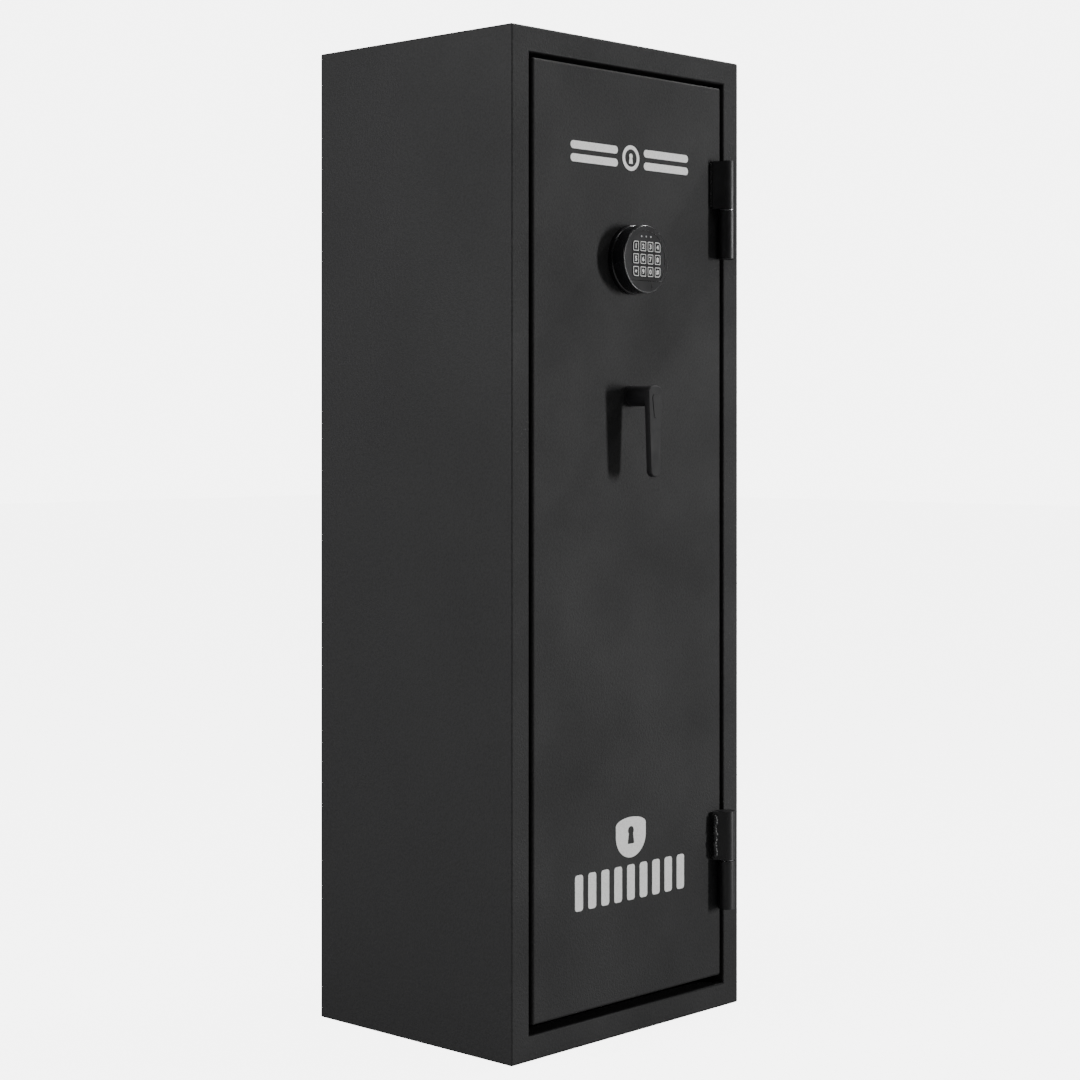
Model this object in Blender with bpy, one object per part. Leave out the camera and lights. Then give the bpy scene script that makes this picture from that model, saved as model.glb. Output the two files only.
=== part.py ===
"""Gun safe: a tall folded-steel cabinet with a flush, right-hung door.

Metres, +Z up. The origin is on the floor at the centre of the cabinet's footprint, and the door
faces -Y. Everything is shown shut and unlocked: the lever hangs down and the bolts are drawn back.
"""

import math

import bmesh
import bpy
from mathutils import Matrix, Vector

# ---- Driving dimensions -------------------------------------------------------------------------
HEIGHT = 1.397
WIDTH = 0.485
DEPTH = 0.384
FRONT = -DEPTH / 2  # y of the front face of the frame and the door
FIT = 0.0003  # gap between pieces that touch
SHEET = 0.0025  # body sheet steel
BEND = 0.003  # outer radius of the body's bends

FRAME_FACE = 0.0345  # width of the frame round the door
LIP_DEPTH = 0.032  # how far the frame's edge is folded back into the cabinet
OPENING_W = WIDTH - 2 * FRAME_FACE
OPENING_H = HEIGHT - 2 * FRAME_FACE

DOOR_GAP = 0.0065
FOOT_GAP = 0.0130  # the wider gap under the door
DOOR_W = OPENING_W - 2 * DOOR_GAP
DOOR_H = OPENING_H - DOOR_GAP - FOOT_GAP
DOOR_MID = (HEIGHT + FOOT_GAP - DOOR_GAP) / 2
SKIN = 0.003
DOOR_EDGE_R = 0.0038
SKIN_RETURN = 0.0075  # depth of the door skin's folded edge
BOX_STEP = 0.008  # how much narrower the bolt box is than the skin, on each side
BOX_W = DOOR_W - 2 * BOX_STEP
BOX_H = DOOR_H - 2 * BOX_STEP
BOX_WALL = 0.002
BOX_BACK = 0.060  # depth of the bolt box's rear edge
COVER = 0.002
SPINDLE_HOLE_R, LEAD_HOLE_R = 0.0092, 0.0060  # holes through the door skin
LINER_INSET = 0.006  # how much narrower the door's lining is than its box
DEAD_BAR_END = 0.160  # from the dead bar's end to the cabinet's top or bottom
DEAD_BAR_THICK = 0.010
LATCH_REACH = 0.0065  # how far the dead bar reaches behind the frame
SEAL_WIDTH = 0.0065
SEAL_DEPTH = 0.009

BOARD = 0.012  # carpeted fireboard
LINER_FRONT = 0.066  # depth at which the cabinet's lining starts
SHELF_Z = 1.100
SHELF_FRONT = 0.105
REST_Z = 0.860
REST_DEPTH = 0.075
REST_THICK = 0.022
ANCHOR_X, ANCHOR_Y = 0.150, 0.105
ANCHOR_R = 0.0068
PLUG_R, PLUG_HEAD_R, PLUG_HEAD = 0.0062, 0.0115, 0.0028
CLEAT_LEG, CLEAT_THICK = 0.020, 0.002
NOTCHES = 5
NOTCH_PITCH = 0.086
NOTCH_W = 0.040
NOTCH_DEEP = 0.042

# Hinges: the pin stands in front of the door's right edge.
PIN_X = OPENING_W / 2 - 0.009
PIN_OUT = 0.013  # in front of the face
BARREL_R = 0.0122
PIN_R = 0.0060
BORE_R = 0.0063
HINGE_HALF = 0.072
HINGE_SPLIT = 0.0015  # slit between the barrels, where the pin's collar sits
HINGE_MIDS = {"upper": 1.175, "lower": 0.2195}
WING = 0.0050  # thickness of the welded foot
STRAP_REACH = 0.0225  # how far the door half's strap runs to the left of the pin

# Lever, spindle and bolt work
LEVER_Z = 0.8993
STEM_R = 0.0142
STEM_OUT = 0.042
BLADE_FRONT = 0.0462
BLADE_THICK = 0.008
BLADE_TOP = 0.0150
BLADE_LONG = 0.1136
BLADE_W_TOP = 0.031
BLADE_W_END = 0.021
PAD_LOW, PAD_HIGH = -0.031, 0.004
PAD_W_TOP, PAD_W_END = 0.014, 0.007
PAD_RISE = 0.0008
BLADE_SHOULDER = 0.0085
BLADE_ROUND = 0.0022
COLLAR_R, COLLAR_OUT = 0.0152, 0.0022
COLLAR_BORE_R, COLLAR_NECK_R = 0.0068, 0.0088
SPINDLE_R = 0.006
CRANK_R = 0.0177  # distance of the crank pin from the spindle
CRANK_PIN_R = 0.004
THROW = CRANK_R * math.sqrt(2)  # bolt travel for a quarter turn of the lever
CAM_NEAR, CAM_FAR = 0.024, 0.029  # depths of the cam disc
ARM_NEAR, ARM_FAR = 0.031, 0.035  # depths of the carriage's arm
BOLT_R = 0.010
BOLT_DEPTH = 0.046
BOLT_LEFT = -0.1895  # x of the bolts' noses, drawn back just inside the bolt box's wall
CAM_R = 0.0245
SLOT_SIDE, SLOT_END = 0.0009, 0.0012  # play of the crank pin in its slot
ARM_LOW, ARM_RIGHT = 0.880, 0.0835
RAMP_TOP, RAMP_LEFT = 0.942, 0.030  # where the sloping edge that lifts the lock bolt starts
BAR_X = -0.150
BAR_THICK = 0.006
BOLT_ZS = {"upper": 1.160, "middle": 0.700, "lower": 0.240}

# Electronic lock
LOCK_Z = 1.0917
BASE_R, BASE_OUT = 0.0490, 0.0088
BASE_BORE_R, SPIGOT_R = 0.0395, 0.0390  # the housing's spigot sits in the base's bore
HOUSING_R, HOUSING_OUT = 0.0478, 0.0290
CAVITY_R = 0.0380
FACE_R = 0.0404
FACE_THICK = 0.003
FACE_OUT = 0.0286
CHORD = -0.0304  # the battery cover starts this far below the middle
COVER_OUT_NEAR = 0.020
COVER_STEP = 0.0004  # how far the battery cover's front stands behind the rim's
BOARD_R = 0.0350
NOTCH_X, NOTCH_DOWN = 0.0120, 0.0376  # finger notch in the battery cover
KEY_W, KEY_H, KEY_THICK = 0.0130, 0.0149, 0.0042
KEY_PITCH_X, KEY_PITCH_Z = 0.0154, 0.0177
KEY_ROWS = (("1", "2", "3", "4"), ("5", "6", "7", "8"), ("star", "9", "0", "hash"))
KEY_PROUD = 0.0012
LED_R = 0.0013
LED_UP = 0.0318
LED_PITCH = 0.0099
LEAD_Z = LOCK_Z + 0.0080  # the keypad's lead passes through the door here
LOCK_BODY = ((0.012, 0.006, 0.965), (0.072, 0.038, 1.045))  # x, depth, z
LOCK_BOLT_TRAVEL = 0.012
LOCK_BOLT_X, LOCK_BOLT_DEPTH = (0.030, 0.054), (0.0285, 0.0355)

ROUND = 32  # sides of a large cylinder
SMALL_ROUND = 20


def depth(d):
    """y at a distance d behind the front face, or in front of it where d is negative."""
    return FRONT + d


# ---- Shape helpers ------------------------------------------------------------------------------
def finish(name, colour, roughness, metallic=0.0):
    made = bpy.data.materials.get(name) or bpy.data.materials.new(name)
    made.use_nodes = True
    shader = made.node_tree.nodes["Principled BSDF"]
    shader.inputs["Base Color"].default_value = (*colour, 1.0)
    shader.inputs["Roughness"].default_value = roughness
    shader.inputs["Metallic"].default_value = metallic
    return made


def add(name, shape, material, at=(0.0, 0.0, 0.0)):
    """Turns a bmesh into an object whose origin is at `at`, in world coordinates."""
    bmesh.ops.translate(shape, verts=shape.verts, vec=-Vector(at))
    bmesh.ops.recalc_face_normals(shape, faces=shape.faces)
    mesh = bpy.data.meshes.new(name)
    shape.to_mesh(mesh)
    shape.free()
    mesh.materials.append(material)
    mesh.shade_smooth()
    mesh.set_sharp_from_angle(angle=math.radians(35))
    made = bpy.data.objects.new(name, mesh)
    made.location = at
    bpy.context.scene.collection.objects.link(made)
    return made


def block(low, high):
    shape = bmesh.new()
    bmesh.ops.create_cube(shape, size=1.0)
    low, high = Vector(low), Vector(high)
    size = high - low
    bmesh.ops.scale(shape, verts=shape.verts, vec=size)
    bmesh.ops.translate(shape, verts=shape.verts, vec=(low + high) / 2)
    return shape


def slab(x0, x1, d0, d1, z0, z1):
    """A block given by x, depth behind the front face, and z."""
    return block((x0, depth(d0), z0), (x1, depth(d1), z1))


def soften(shape, chosen, radius, segments=2):
    """Rounds the edges for which chosen(edge's middle, its direction) is true."""
    edges = []
    for edge in shape.edges:
        a, b = (v.co for v in edge.verts)
        if chosen((a + b) / 2, (b - a).normalized()):
            edges.append(edge)
    bmesh.ops.bevel(shape, geom=edges, offset=radius, segments=segments, profile=0.5, affect="EDGES")
    return shape


def rod(start, end, radius, sides=SMALL_ROUND):
    start, end = Vector(start), Vector(end)
    shape = bmesh.new()
    bmesh.ops.create_cone(
        shape, cap_ends=True, segments=sides, radius1=radius, radius2=radius, depth=(end - start).length
    )
    turn = Vector((0, 0, 1)).rotation_difference(end - start).to_matrix().to_4x4()
    bmesh.ops.transform(shape, verts=shape.verts, matrix=Matrix.Translation((start + end) / 2) @ turn)
    return shape


def prism(outline, along, low, high):
    """Extrudes a flat outline. along is "y" for an outline of (x, z) or "z" for one of (x, y)."""
    shape = bmesh.new()
    place = {"y": lambda u, v, w: (u, w, v), "z": lambda u, v, w: (u, v, w)}[along]
    floor = [shape.verts.new(place(u, v, low)) for u, v in outline]
    roof = [shape.verts.new(place(u, v, high)) for u, v in outline]
    shape.faces.new(floor)
    shape.faces.new(roof)
    for i in range(len(outline)):
        j = (i + 1) % len(outline)
        shape.faces.new((floor[i], floor[j], roof[j], roof[i]))
    return shape


def turned(profile, sides, centre_x, centre_z):
    """Turns a closed profile of (radius, depth) about an axis along Y. A radius of 0 is a pole."""
    shape = bmesh.new()
    rings = []
    for radius, d in profile:
        if radius == 0:
            rings.append([shape.verts.new((centre_x, depth(d), centre_z))])
            continue
        ring = []
        for i in range(sides):
            a = math.tau * i / sides
            x, z = centre_x + radius * math.cos(a), centre_z + radius * math.sin(a)
            ring.append(shape.verts.new((x, depth(d), z)))
        rings.append(ring)
    for k, here in enumerate(rings):
        there = rings[(k + 1) % len(rings)]
        if len(here) == 1 and len(there) == 1:
            continue
        for i in range(sides):
            j = (i + 1) % sides
            corners = [here[i % len(here)], here[j % len(here)], there[j % len(there)], there[i % len(there)]]
            shape.faces.new(list(dict.fromkeys(corners)))
    return shape


def rounded_outline(width, height, radii, centre=(0.0, 0.0), steps=3):
    """Outline of a rectangle. radii: top right, top left, bottom left, bottom right."""
    corners = ((1, 1), (-1, 1), (-1, -1), (1, -1))
    points = []
    for k, ((sx, sz), r) in enumerate(zip(corners, radii)):
        cx = centre[0] + sx * (width / 2 - r)
        cz = centre[1] + sz * (height / 2 - r)
        for i in range(steps + 1):
            a = math.pi / 2 * (k + i / steps)
            points.append((cx + r * math.cos(a), cz + r * math.sin(a)))
    return points


def helper(name, shape):
    """A cutter or a shape to be joined: it isn't part of the safe by itself."""
    made = add(name, shape, finish("helper", (1, 0, 0), 0.5))
    made.hide_render = True
    made.display_type = "WIRE"
    made.hide_set(True)
    return made


def combine(obj, shape, operation):
    tool = helper(f"{obj.name}_{operation.lower()}_{len(obj.modifiers)}", shape)
    step = obj.modifiers.new(f"{operation.lower()}_{len(obj.modifiers)}", "BOOLEAN")
    step.operation = operation
    step.solver = "EXACT"
    step.object = tool


def cut(obj, shape):
    combine(obj, shape, "DIFFERENCE")


def join(obj, shape):
    combine(obj, shape, "UNION")


# ---- Cabinet ------------------------------------------------------------------------------------
def is_along(axis):
    return lambda middle, direction: abs(direction[axis]) > 0.99


def make_shell(paint):
    """Left, top, right and bottom walls, folded from one sheet."""
    outer = slab(-WIDTH / 2, WIDTH / 2, SHEET + FIT, DEPTH, 0, HEIGHT)
    shell = add("body_shell", soften(outer, is_along(1), BEND), paint)
    cut(shell, slab(SHEET - WIDTH / 2, WIDTH / 2 - SHEET, -0.01, DEPTH + 0.01, SHEET, HEIGHT - SHEET))
    for x, y in anchor_places():
        cut(shell, rod((x, y, -0.01), (x, y, SHEET + 0.005), ANCHOR_R))
    return shell


def make_front_frame(paint):
    """The face round the door, with its inner edge folded back as a lip."""
    face = soften(slab(-WIDTH / 2, WIDTH / 2, 0, SHEET, 0, HEIGHT), is_along(1), BEND)
    frame = add("front_frame", face, paint)
    lip_x, lip_z = OPENING_W / 2 + SHEET, OPENING_H / 2 + SHEET
    join(frame, slab(-lip_x, lip_x, SHEET / 2, LIP_DEPTH, HEIGHT / 2 - lip_z, HEIGHT / 2 + lip_z))
    x, z = OPENING_W / 2, OPENING_H / 2
    cut(frame, slab(-x, x, -0.01, LIP_DEPTH + 0.01, HEIGHT / 2 - z, HEIGHT / 2 + z))
    return frame


def make_back(paint):
    inset = SHEET + FIT
    back = slab(inset - WIDTH / 2, WIDTH / 2 - inset, DEPTH - SHEET, DEPTH, inset, HEIGHT - inset)
    return add("back_panel", back, paint)


def anchor_places():
    return [(sx * ANCHOR_X, sy * ANCHOR_Y) for sx in (-1, 1) for sy in (-1, 1)]


def make_lining(carpet):
    """Carpeted fireboards on the five walls, each butting against its neighbours."""
    wall = WIDTH / 2 - SHEET - FIT
    low, high = SHEET + FIT, HEIGHT - SHEET - FIT
    rear = DEPTH - SHEET - FIT
    front = LINER_FRONT
    floor = add("liner_floor", slab(-wall, wall, front, rear, low, low + BOARD), carpet)
    for x, y in anchor_places():
        cut(floor, rod((x, y, 0), (x, y, low + BOARD + 0.01), ANCHOR_R))
    add("liner_ceiling", slab(-wall, wall, front, rear, high - BOARD, high), carpet)
    low, high = low + BOARD + FIT, high - BOARD - FIT
    add("liner_back", slab(-wall, wall, rear - BOARD, rear, low, high), carpet)
    rear = rear - BOARD - FIT
    add("liner_left", slab(-wall, BOARD - wall, front, rear, low, high), carpet)
    add("liner_right", slab(wall - BOARD, wall, front, rear, low, high), carpet)


def make_fittings(carpet, steel, foam):
    """Shelf on two steel cleats, and the notched rest for the barrels."""
    inner = WIDTH / 2 - SHEET - 2 * FIT - BOARD
    rear = DEPTH - SHEET - 2 * FIT - BOARD
    add("shelf", slab(-inner, inner, SHELF_FRONT, rear, SHELF_Z, SHELF_Z + BOARD), carpet)
    leg, thick = CLEAT_LEG, CLEAT_THICK
    top = SHELF_Z - FIT
    for side, name in ((-1, "left"), (1, "right")):
        outline = [
            (0, 0), (leg, 0), (leg, -thick), (thick, -thick), (thick, -leg), (0, -leg),
        ]
        outline = [(side * (u - inner), v + top) for u, v in outline]
        cleat = prism(outline, "y", depth(SHELF_FRONT + 0.02), depth(rear - 0.01))
        add(f"shelf_cleat_{name}", cleat, steel)
    front = rear - REST_DEPTH
    rest = prism(rest_outline(inner, rear, front), "z", REST_Z, REST_Z + REST_THICK)
    add("barrel_rest", rest, foam)


def rest_outline(inner, rear, front):
    """A board whose front edge has round-bottomed notches."""
    points = [(inner, depth(rear)), (-inner, depth(rear)), (-inner, depth(front))]
    radius = NOTCH_W / 2
    for k in range(NOTCHES):
        middle = (k - (NOTCHES - 1) / 2) * NOTCH_PITCH
        points.append((middle - radius, depth(front)))
        centre = front + NOTCH_DEEP - radius
        for i in range(9):
            a = math.pi * i / 8
            points.append((middle - radius * math.cos(a), depth(centre + radius * math.sin(a))))
        points.append((middle + radius, depth(front)))
    points.append((inner, depth(front)))
    return points


def make_anchor_plugs(rubber):
    """Push-in plugs in the four floor-bolt holes."""
    top = SHEET + FIT + BOARD + FIT
    for k, (x, y) in enumerate(anchor_places()):
        stem = rod((x, y, 2 * FIT), (x, y, top + 0.001), PLUG_R)
        plug = add(f"anchor_plug_{k + 1}", stem, rubber)
        join(plug, rod((x, y, top), (x, y, top + PLUG_HEAD), PLUG_HEAD_R))


# ---- Hinges -------------------------------------------------------------------------------------
def hinge_half(name, low, high, wing, paint, bore_low, bore_high):
    """A barrel with a welded foot. wing is the foot's outline in (x, y) from the pin's axis."""
    y = depth(-PIN_OUT)
    half = add(name, rod((PIN_X, y, low), (PIN_X, y, high), BARREL_R, 24), paint)
    foot = [(PIN_X + u, y + v) for u, v in wing]
    join(half, prism(foot, "z", low + 0.0006, high - 0.0006))
    cut(half, rod((PIN_X, y, bore_low), (PIN_X, y, bore_high), BORE_R, 24))


def strap_tangent(corner):
    """Where a flat strap from the foot's corner meets the front of the barrel, as (x, y) from the pin."""
    distance = math.hypot(STRAP_REACH, corner)
    angle = math.atan2(corner, -STRAP_REACH) + math.acos(BARREL_R / distance)
    return [(BARREL_R * math.cos(angle), BARREL_R * math.sin(angle))]


def make_hinges(paint, steel):
    face = PIN_OUT - FIT
    over_door = [(-STRAP_REACH, face), (-STRAP_REACH, face - WING), *strap_tangent(face - WING),
                 (0.0, 0.0), (0.0015, 0.0110), (0.0015, face)]
    over_frame = [(0.0095, face), (0.0280, face), (0.0280, face - WING), (0.0175, face - WING),
                  (0.0112, 0.0010), (0.0, 0.0)]
    y = depth(-PIN_OUT)
    for name, mid in HINGE_MIDS.items():
        low, high = mid - HINGE_HALF, mid + HINGE_HALF
        slit = HINGE_SPLIT / 2
        hinge_half(f"frame_hinge_{name}", low, mid - slit, over_frame, paint, low + 0.012, mid + 0.01)
        hinge_half(f"door_hinge_{name}", mid + slit, high, over_door, paint, mid - 0.01, high - 0.012)
        pin = add(f"hinge_pin_{name}", rod((PIN_X, y, low + 0.0125), (PIN_X, y, high - 0.0128), PIN_R, 24), steel)
        collar = slit - FIT
        join(pin, rod((PIN_X, y, mid - collar), (PIN_X, y, mid + collar), BARREL_R - 0.0010, 24))


# ---- Door ---------------------------------------------------------------------------------------
def make_door_shells(paint, steel, carpet, seal_black):
    x, z = DOOR_W / 2, DOOR_H / 2
    pan = slab(-x, x, 0, SKIN_RETURN, DOOR_MID - z, DOOR_MID + z)

    def front_or_corner(middle, direction):
        return abs(direction[1]) > 0.99 or abs(middle[1] - FRONT) < 1e-6

    skin = add("door_skin", soften(pan, front_or_corner, DOOR_EDGE_R, 3), paint)
    x, z = x - SKIN, z - SKIN
    cut(skin, slab(-x, x, SKIN, SKIN_RETURN + 0.01, DOOR_MID - z, DOOR_MID + z))
    for level, radius in ((LEVER_Z, SPINDLE_HOLE_R), (LEAD_Z, LEAD_HOLE_R)):
        cut(skin, rod((0, depth(-0.01), level), (0, depth(SKIN + 0.003), level), radius))

    x, z = BOX_W / 2, BOX_H / 2
    box = add("door_box", slab(-x, x, SKIN + FIT, BOX_BACK, DOOR_MID - z, DOOR_MID + z), steel)
    inner_x, inner_z = x - BOX_WALL, z - BOX_WALL
    cut(box, slab(-inner_x, inner_x, 0, BOX_BACK + 0.01, DOOR_MID - inner_z, DOOR_MID + inner_z))
    for level in BOLT_ZS.values():
        place = (-x - 0.01, depth(BOLT_DEPTH), level)
        cut(box, rod(place, (-inner_x + 0.005, place[1], level), BOLT_R + 0.0005, 24))

    near = BOX_BACK + FIT
    add("boltwork_cover", slab(-x, x, near, near + COVER, DOOR_MID - z, DOOR_MID + z), steel)
    near, x, z = near + COVER + FIT, x - LINER_INSET, z - LINER_INSET
    add("door_liner", slab(-x, x, near, near + BOARD, DOOR_MID - z, DOOR_MID + z), carpet)

    x, z = BOX_W / 2 + FIT, BOX_H / 2 + FIT
    near = SKIN_RETURN + FIT
    wide_x, wide_z = x + SEAL_WIDTH, z + SEAL_WIDTH
    seal = slab(-wide_x, wide_x, near, near + SEAL_DEPTH, DOOR_MID - wide_z, DOOR_MID + wide_z)
    cut(add("fire_seal", seal, seal_black), slab(-x, x, 0, 0.05, DOOR_MID - z, DOOR_MID + z))


def make_dead_bar(steel):
    """Fixed bar on the hinge side. It hooks behind the frame's lip when the door is shut."""
    left, right = BOX_W / 2 + FIT, OPENING_W / 2 + LATCH_REACH
    near = LIP_DEPTH + 0.004
    bar = slab(left, right, near, near + DEAD_BAR_THICK, DEAD_BAR_END, HEIGHT - DEAD_BAR_END)
    add("dead_bar", soften(bar, is_along(2), 0.0012, 1), steel)


# ---- Lever and bolt work ------------------------------------------------------------------------
def lever_outline():
    """Front outline of the blade: round shoulders, a slight taper and a round end."""
    shoulder, end = BLADE_SHOULDER, BLADE_W_END / 2
    half = BLADE_W_TOP / 2
    points = []
    for i in range(5):
        a = math.pi / 2 * i / 4
        points.append((half - shoulder + shoulder * math.cos(a), BLADE_TOP - shoulder + shoulder * math.sin(a)))
    points += [(-u, v) for u, v in reversed(points)]
    for i in range(9):
        a = math.pi + math.pi * i / 8
        points.append((end * math.cos(a), end - BLADE_LONG + end * math.sin(a)))
    return [(u, LEVER_Z + v) for u, v in points]


def pad_outline():
    """Raised pad on the blade: a round head that narrows to a small round foot."""
    head, foot = PAD_W_TOP / 2, PAD_W_END / 2
    low, high = LEVER_Z + PAD_LOW + foot, LEVER_Z + PAD_HIGH - head
    points = [(head * math.cos(a), high + head * math.sin(a)) for a in half_turn(0, 8)]
    points += [(foot * math.cos(a), low + foot * math.sin(a)) for a in half_turn(math.pi, 4)]
    return points


def half_turn(start, steps):
    return [start + math.pi * i / steps for i in range(steps + 1)]


def make_lever(zinc, steel):
    """The lever turns on its spindle, so its origin is on that axis."""
    axis = (0, depth(0), LEVER_Z)
    far, near = depth(-BLADE_FRONT), depth(BLADE_THICK - BLADE_FRONT)
    blade = prism(lever_outline(), "y", far, near)
    rim = [e for e in blade.edges if all(abs(v.co.y - far) < 1e-6 for v in e.verts)]
    bmesh.ops.bevel(blade, geom=rim, offset=BLADE_ROUND, segments=2, profile=0.5, affect="EDGES")
    lever = add("handle_lever", blade, zinc, at=axis)
    join(lever, rod((0, depth(-0.0025), LEVER_Z), (0, depth(-STEM_OUT), LEVER_Z), STEM_R, ROUND))
    cut(lever, rod((0, depth(0.01), LEVER_Z), (0, depth(-0.030), LEVER_Z), SPINDLE_R + FIT, SMALL_ROUND))
    join(lever, prism(pad_outline(), "y", depth(-BLADE_FRONT - PAD_RISE), depth(0.002 - BLADE_FRONT)))

    collar = turned(
        [(COLLAR_R, -FIT), (COLLAR_R, 0.0006 - COLLAR_OUT), (COLLAR_R - 0.0006, -COLLAR_OUT),
         (COLLAR_BORE_R, -COLLAR_OUT), (COLLAR_BORE_R, 0.006), (COLLAR_NECK_R, 0.006), (COLLAR_NECK_R, -FIT)],
        SMALL_ROUND, 0, LEVER_Z,
    )
    add("handle_collar", collar, zinc, at=axis)

    spindle = rod((0, depth(-0.0295), LEVER_Z), (0, depth(CAM_FAR + 0.0005), LEVER_Z), SPINDLE_R)
    add("handle_spindle", spindle, steel, at=axis)

    near, far = depth(CAM_NEAR), depth(CAM_FAR)
    cam = add("bolt_cam", rod((0, near, LEVER_Z), (0, far, LEVER_Z), CAM_R, 28), steel, at=axis)
    x, z = crank_pin()
    join(cam, rod((x, near + 0.001, z), (x, depth(ARM_FAR + 0.002), z), CRANK_PIN_R))
    cut(cam, rod((0, near - 0.01, LEVER_Z), (0, far + 0.01, LEVER_Z), SPINDLE_R + FIT))


def crank_pin():
    """The pin stands up and to the right, and swings a quarter turn to the left."""
    arm = CRANK_R / math.sqrt(2)
    return arm, LEVER_Z + arm


def ramp(x):
    """Height of the arm's sloping top edge, which lifts the lock bolt as the bolts draw back."""
    return RAMP_TOP - (x - RAMP_LEFT) * LOCK_BOLT_TRAVEL / THROW


def make_carriage(steel, chrome):
    left = BAR_X + BAR_THICK / 2
    outline = [(left, ARM_LOW), (ARM_RIGHT, ARM_LOW), (ARM_RIGHT, ramp(ARM_RIGHT)), (RAMP_LEFT, RAMP_TOP),
               (left, RAMP_TOP)]
    arm = prism(outline, "y", depth(ARM_NEAR), depth(ARM_FAR))
    carriage = add("bolt_carriage", arm, steel)
    low, high = min(BOLT_ZS.values()) - 0.020, max(BOLT_ZS.values()) + 0.020
    join(carriage, slab(BAR_X, BAR_X + BAR_THICK, ARM_NEAR, 0.0575, low, high))
    x, z = crank_pin()
    clear = CRANK_PIN_R + SLOT_SIDE
    top = LEVER_Z + CRANK_R + CRANK_PIN_R + SLOT_END
    slot = slab(x - clear, x + clear, ARM_NEAR - 0.01, ARM_FAR + 0.01, z - CRANK_PIN_R - SLOT_END, top)
    cut(carriage, slot)
    for name, level in BOLT_ZS.items():
        y = depth(BOLT_DEPTH)
        bolt = rod((BAR_X - FIT, y, level), (BOLT_LEFT, y, level), BOLT_R, 24)
        nose = [e for e in bolt.edges if all(abs(v.co.x - BOLT_LEFT) < 1e-6 for v in e.verts)]
        bmesh.ops.bevel(bolt, geom=nose, offset=0.0015, segments=1, affect="EDGES")
        add(f"bolt_{name}", bolt, chrome)


def make_lock(steel, lead_black):
    """Lock body behind the door, the bolt that it pushes down, and the keypad's lead."""
    (x0, d0, z0), (x1, d1, z1) = LOCK_BODY
    body = add("lock_body", slab(x0, x1, d0, d1, z0, z1), steel)
    (left, right), (near, far) = LOCK_BOLT_X, LOCK_BOLT_DEPTH
    room = 0.0004
    well = slab(left - room, right + room, near - room, far + room, z0 - 0.01, z0 + 0.030)
    cut(body, well)
    cut(body, rod((0.042, depth(0.018), z1 - 0.006), (0.042, depth(0.018), z1 + 0.01), 0.0026, 12))
    rise = 0.0005
    top = z0 + 0.027
    nose = [(left, top), (left, ramp(left) + rise), (right, ramp(right) + rise), (right, top)]
    add("lock_bolt", prism(nose, "y", depth(near), depth(far)), steel)

    curve = bpy.data.curves.new("keypad_lead", "CURVE")
    curve.dimensions = "3D"
    curve.bevel_depth = 0.0018
    curve.bevel_resolution = 2
    curve.use_fill_caps = True
    turns = [(0.0, -0.0050, LEAD_Z), (0.0, 0.0060, LEAD_Z), (0.004, 0.0140, LEAD_Z - 0.006),
             (0.022, 0.0175, LEAD_Z - 0.026), (0.041, 0.0180, z1 + 0.012), (0.042, 0.0180, z1 - 0.004)]
    route = smooth_route([Vector((x, depth(d), z)) for x, d, z in turns], 6)
    line = curve.splines.new("POLY")
    line.points.add(len(route) - 1)
    for point, place in zip(line.points, route):
        point.co = (*place, 1.0)
    lead = bpy.data.objects.new("keypad_lead", curve)
    curve.materials.append(lead_black)
    bpy.context.scene.collection.objects.link(lead)


def smooth_route(points, steps):
    """A Catmull-Rom curve through the points."""
    padded = [2 * points[0] - points[1], *points, 2 * points[-1] - points[-2]]
    route = []
    for a, b, c, d in zip(padded, padded[1:], padded[2:], padded[3:]):
        for i in range(steps):
            t = i / steps
            route.append(
                0.5 * (2 * b + (c - a) * t + (2 * a - 5 * b + 4 * c - d) * t**2 + (3 * b - a - 3 * c + d) * t**3)
            )
    route.append(points[-1])
    return route


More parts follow.
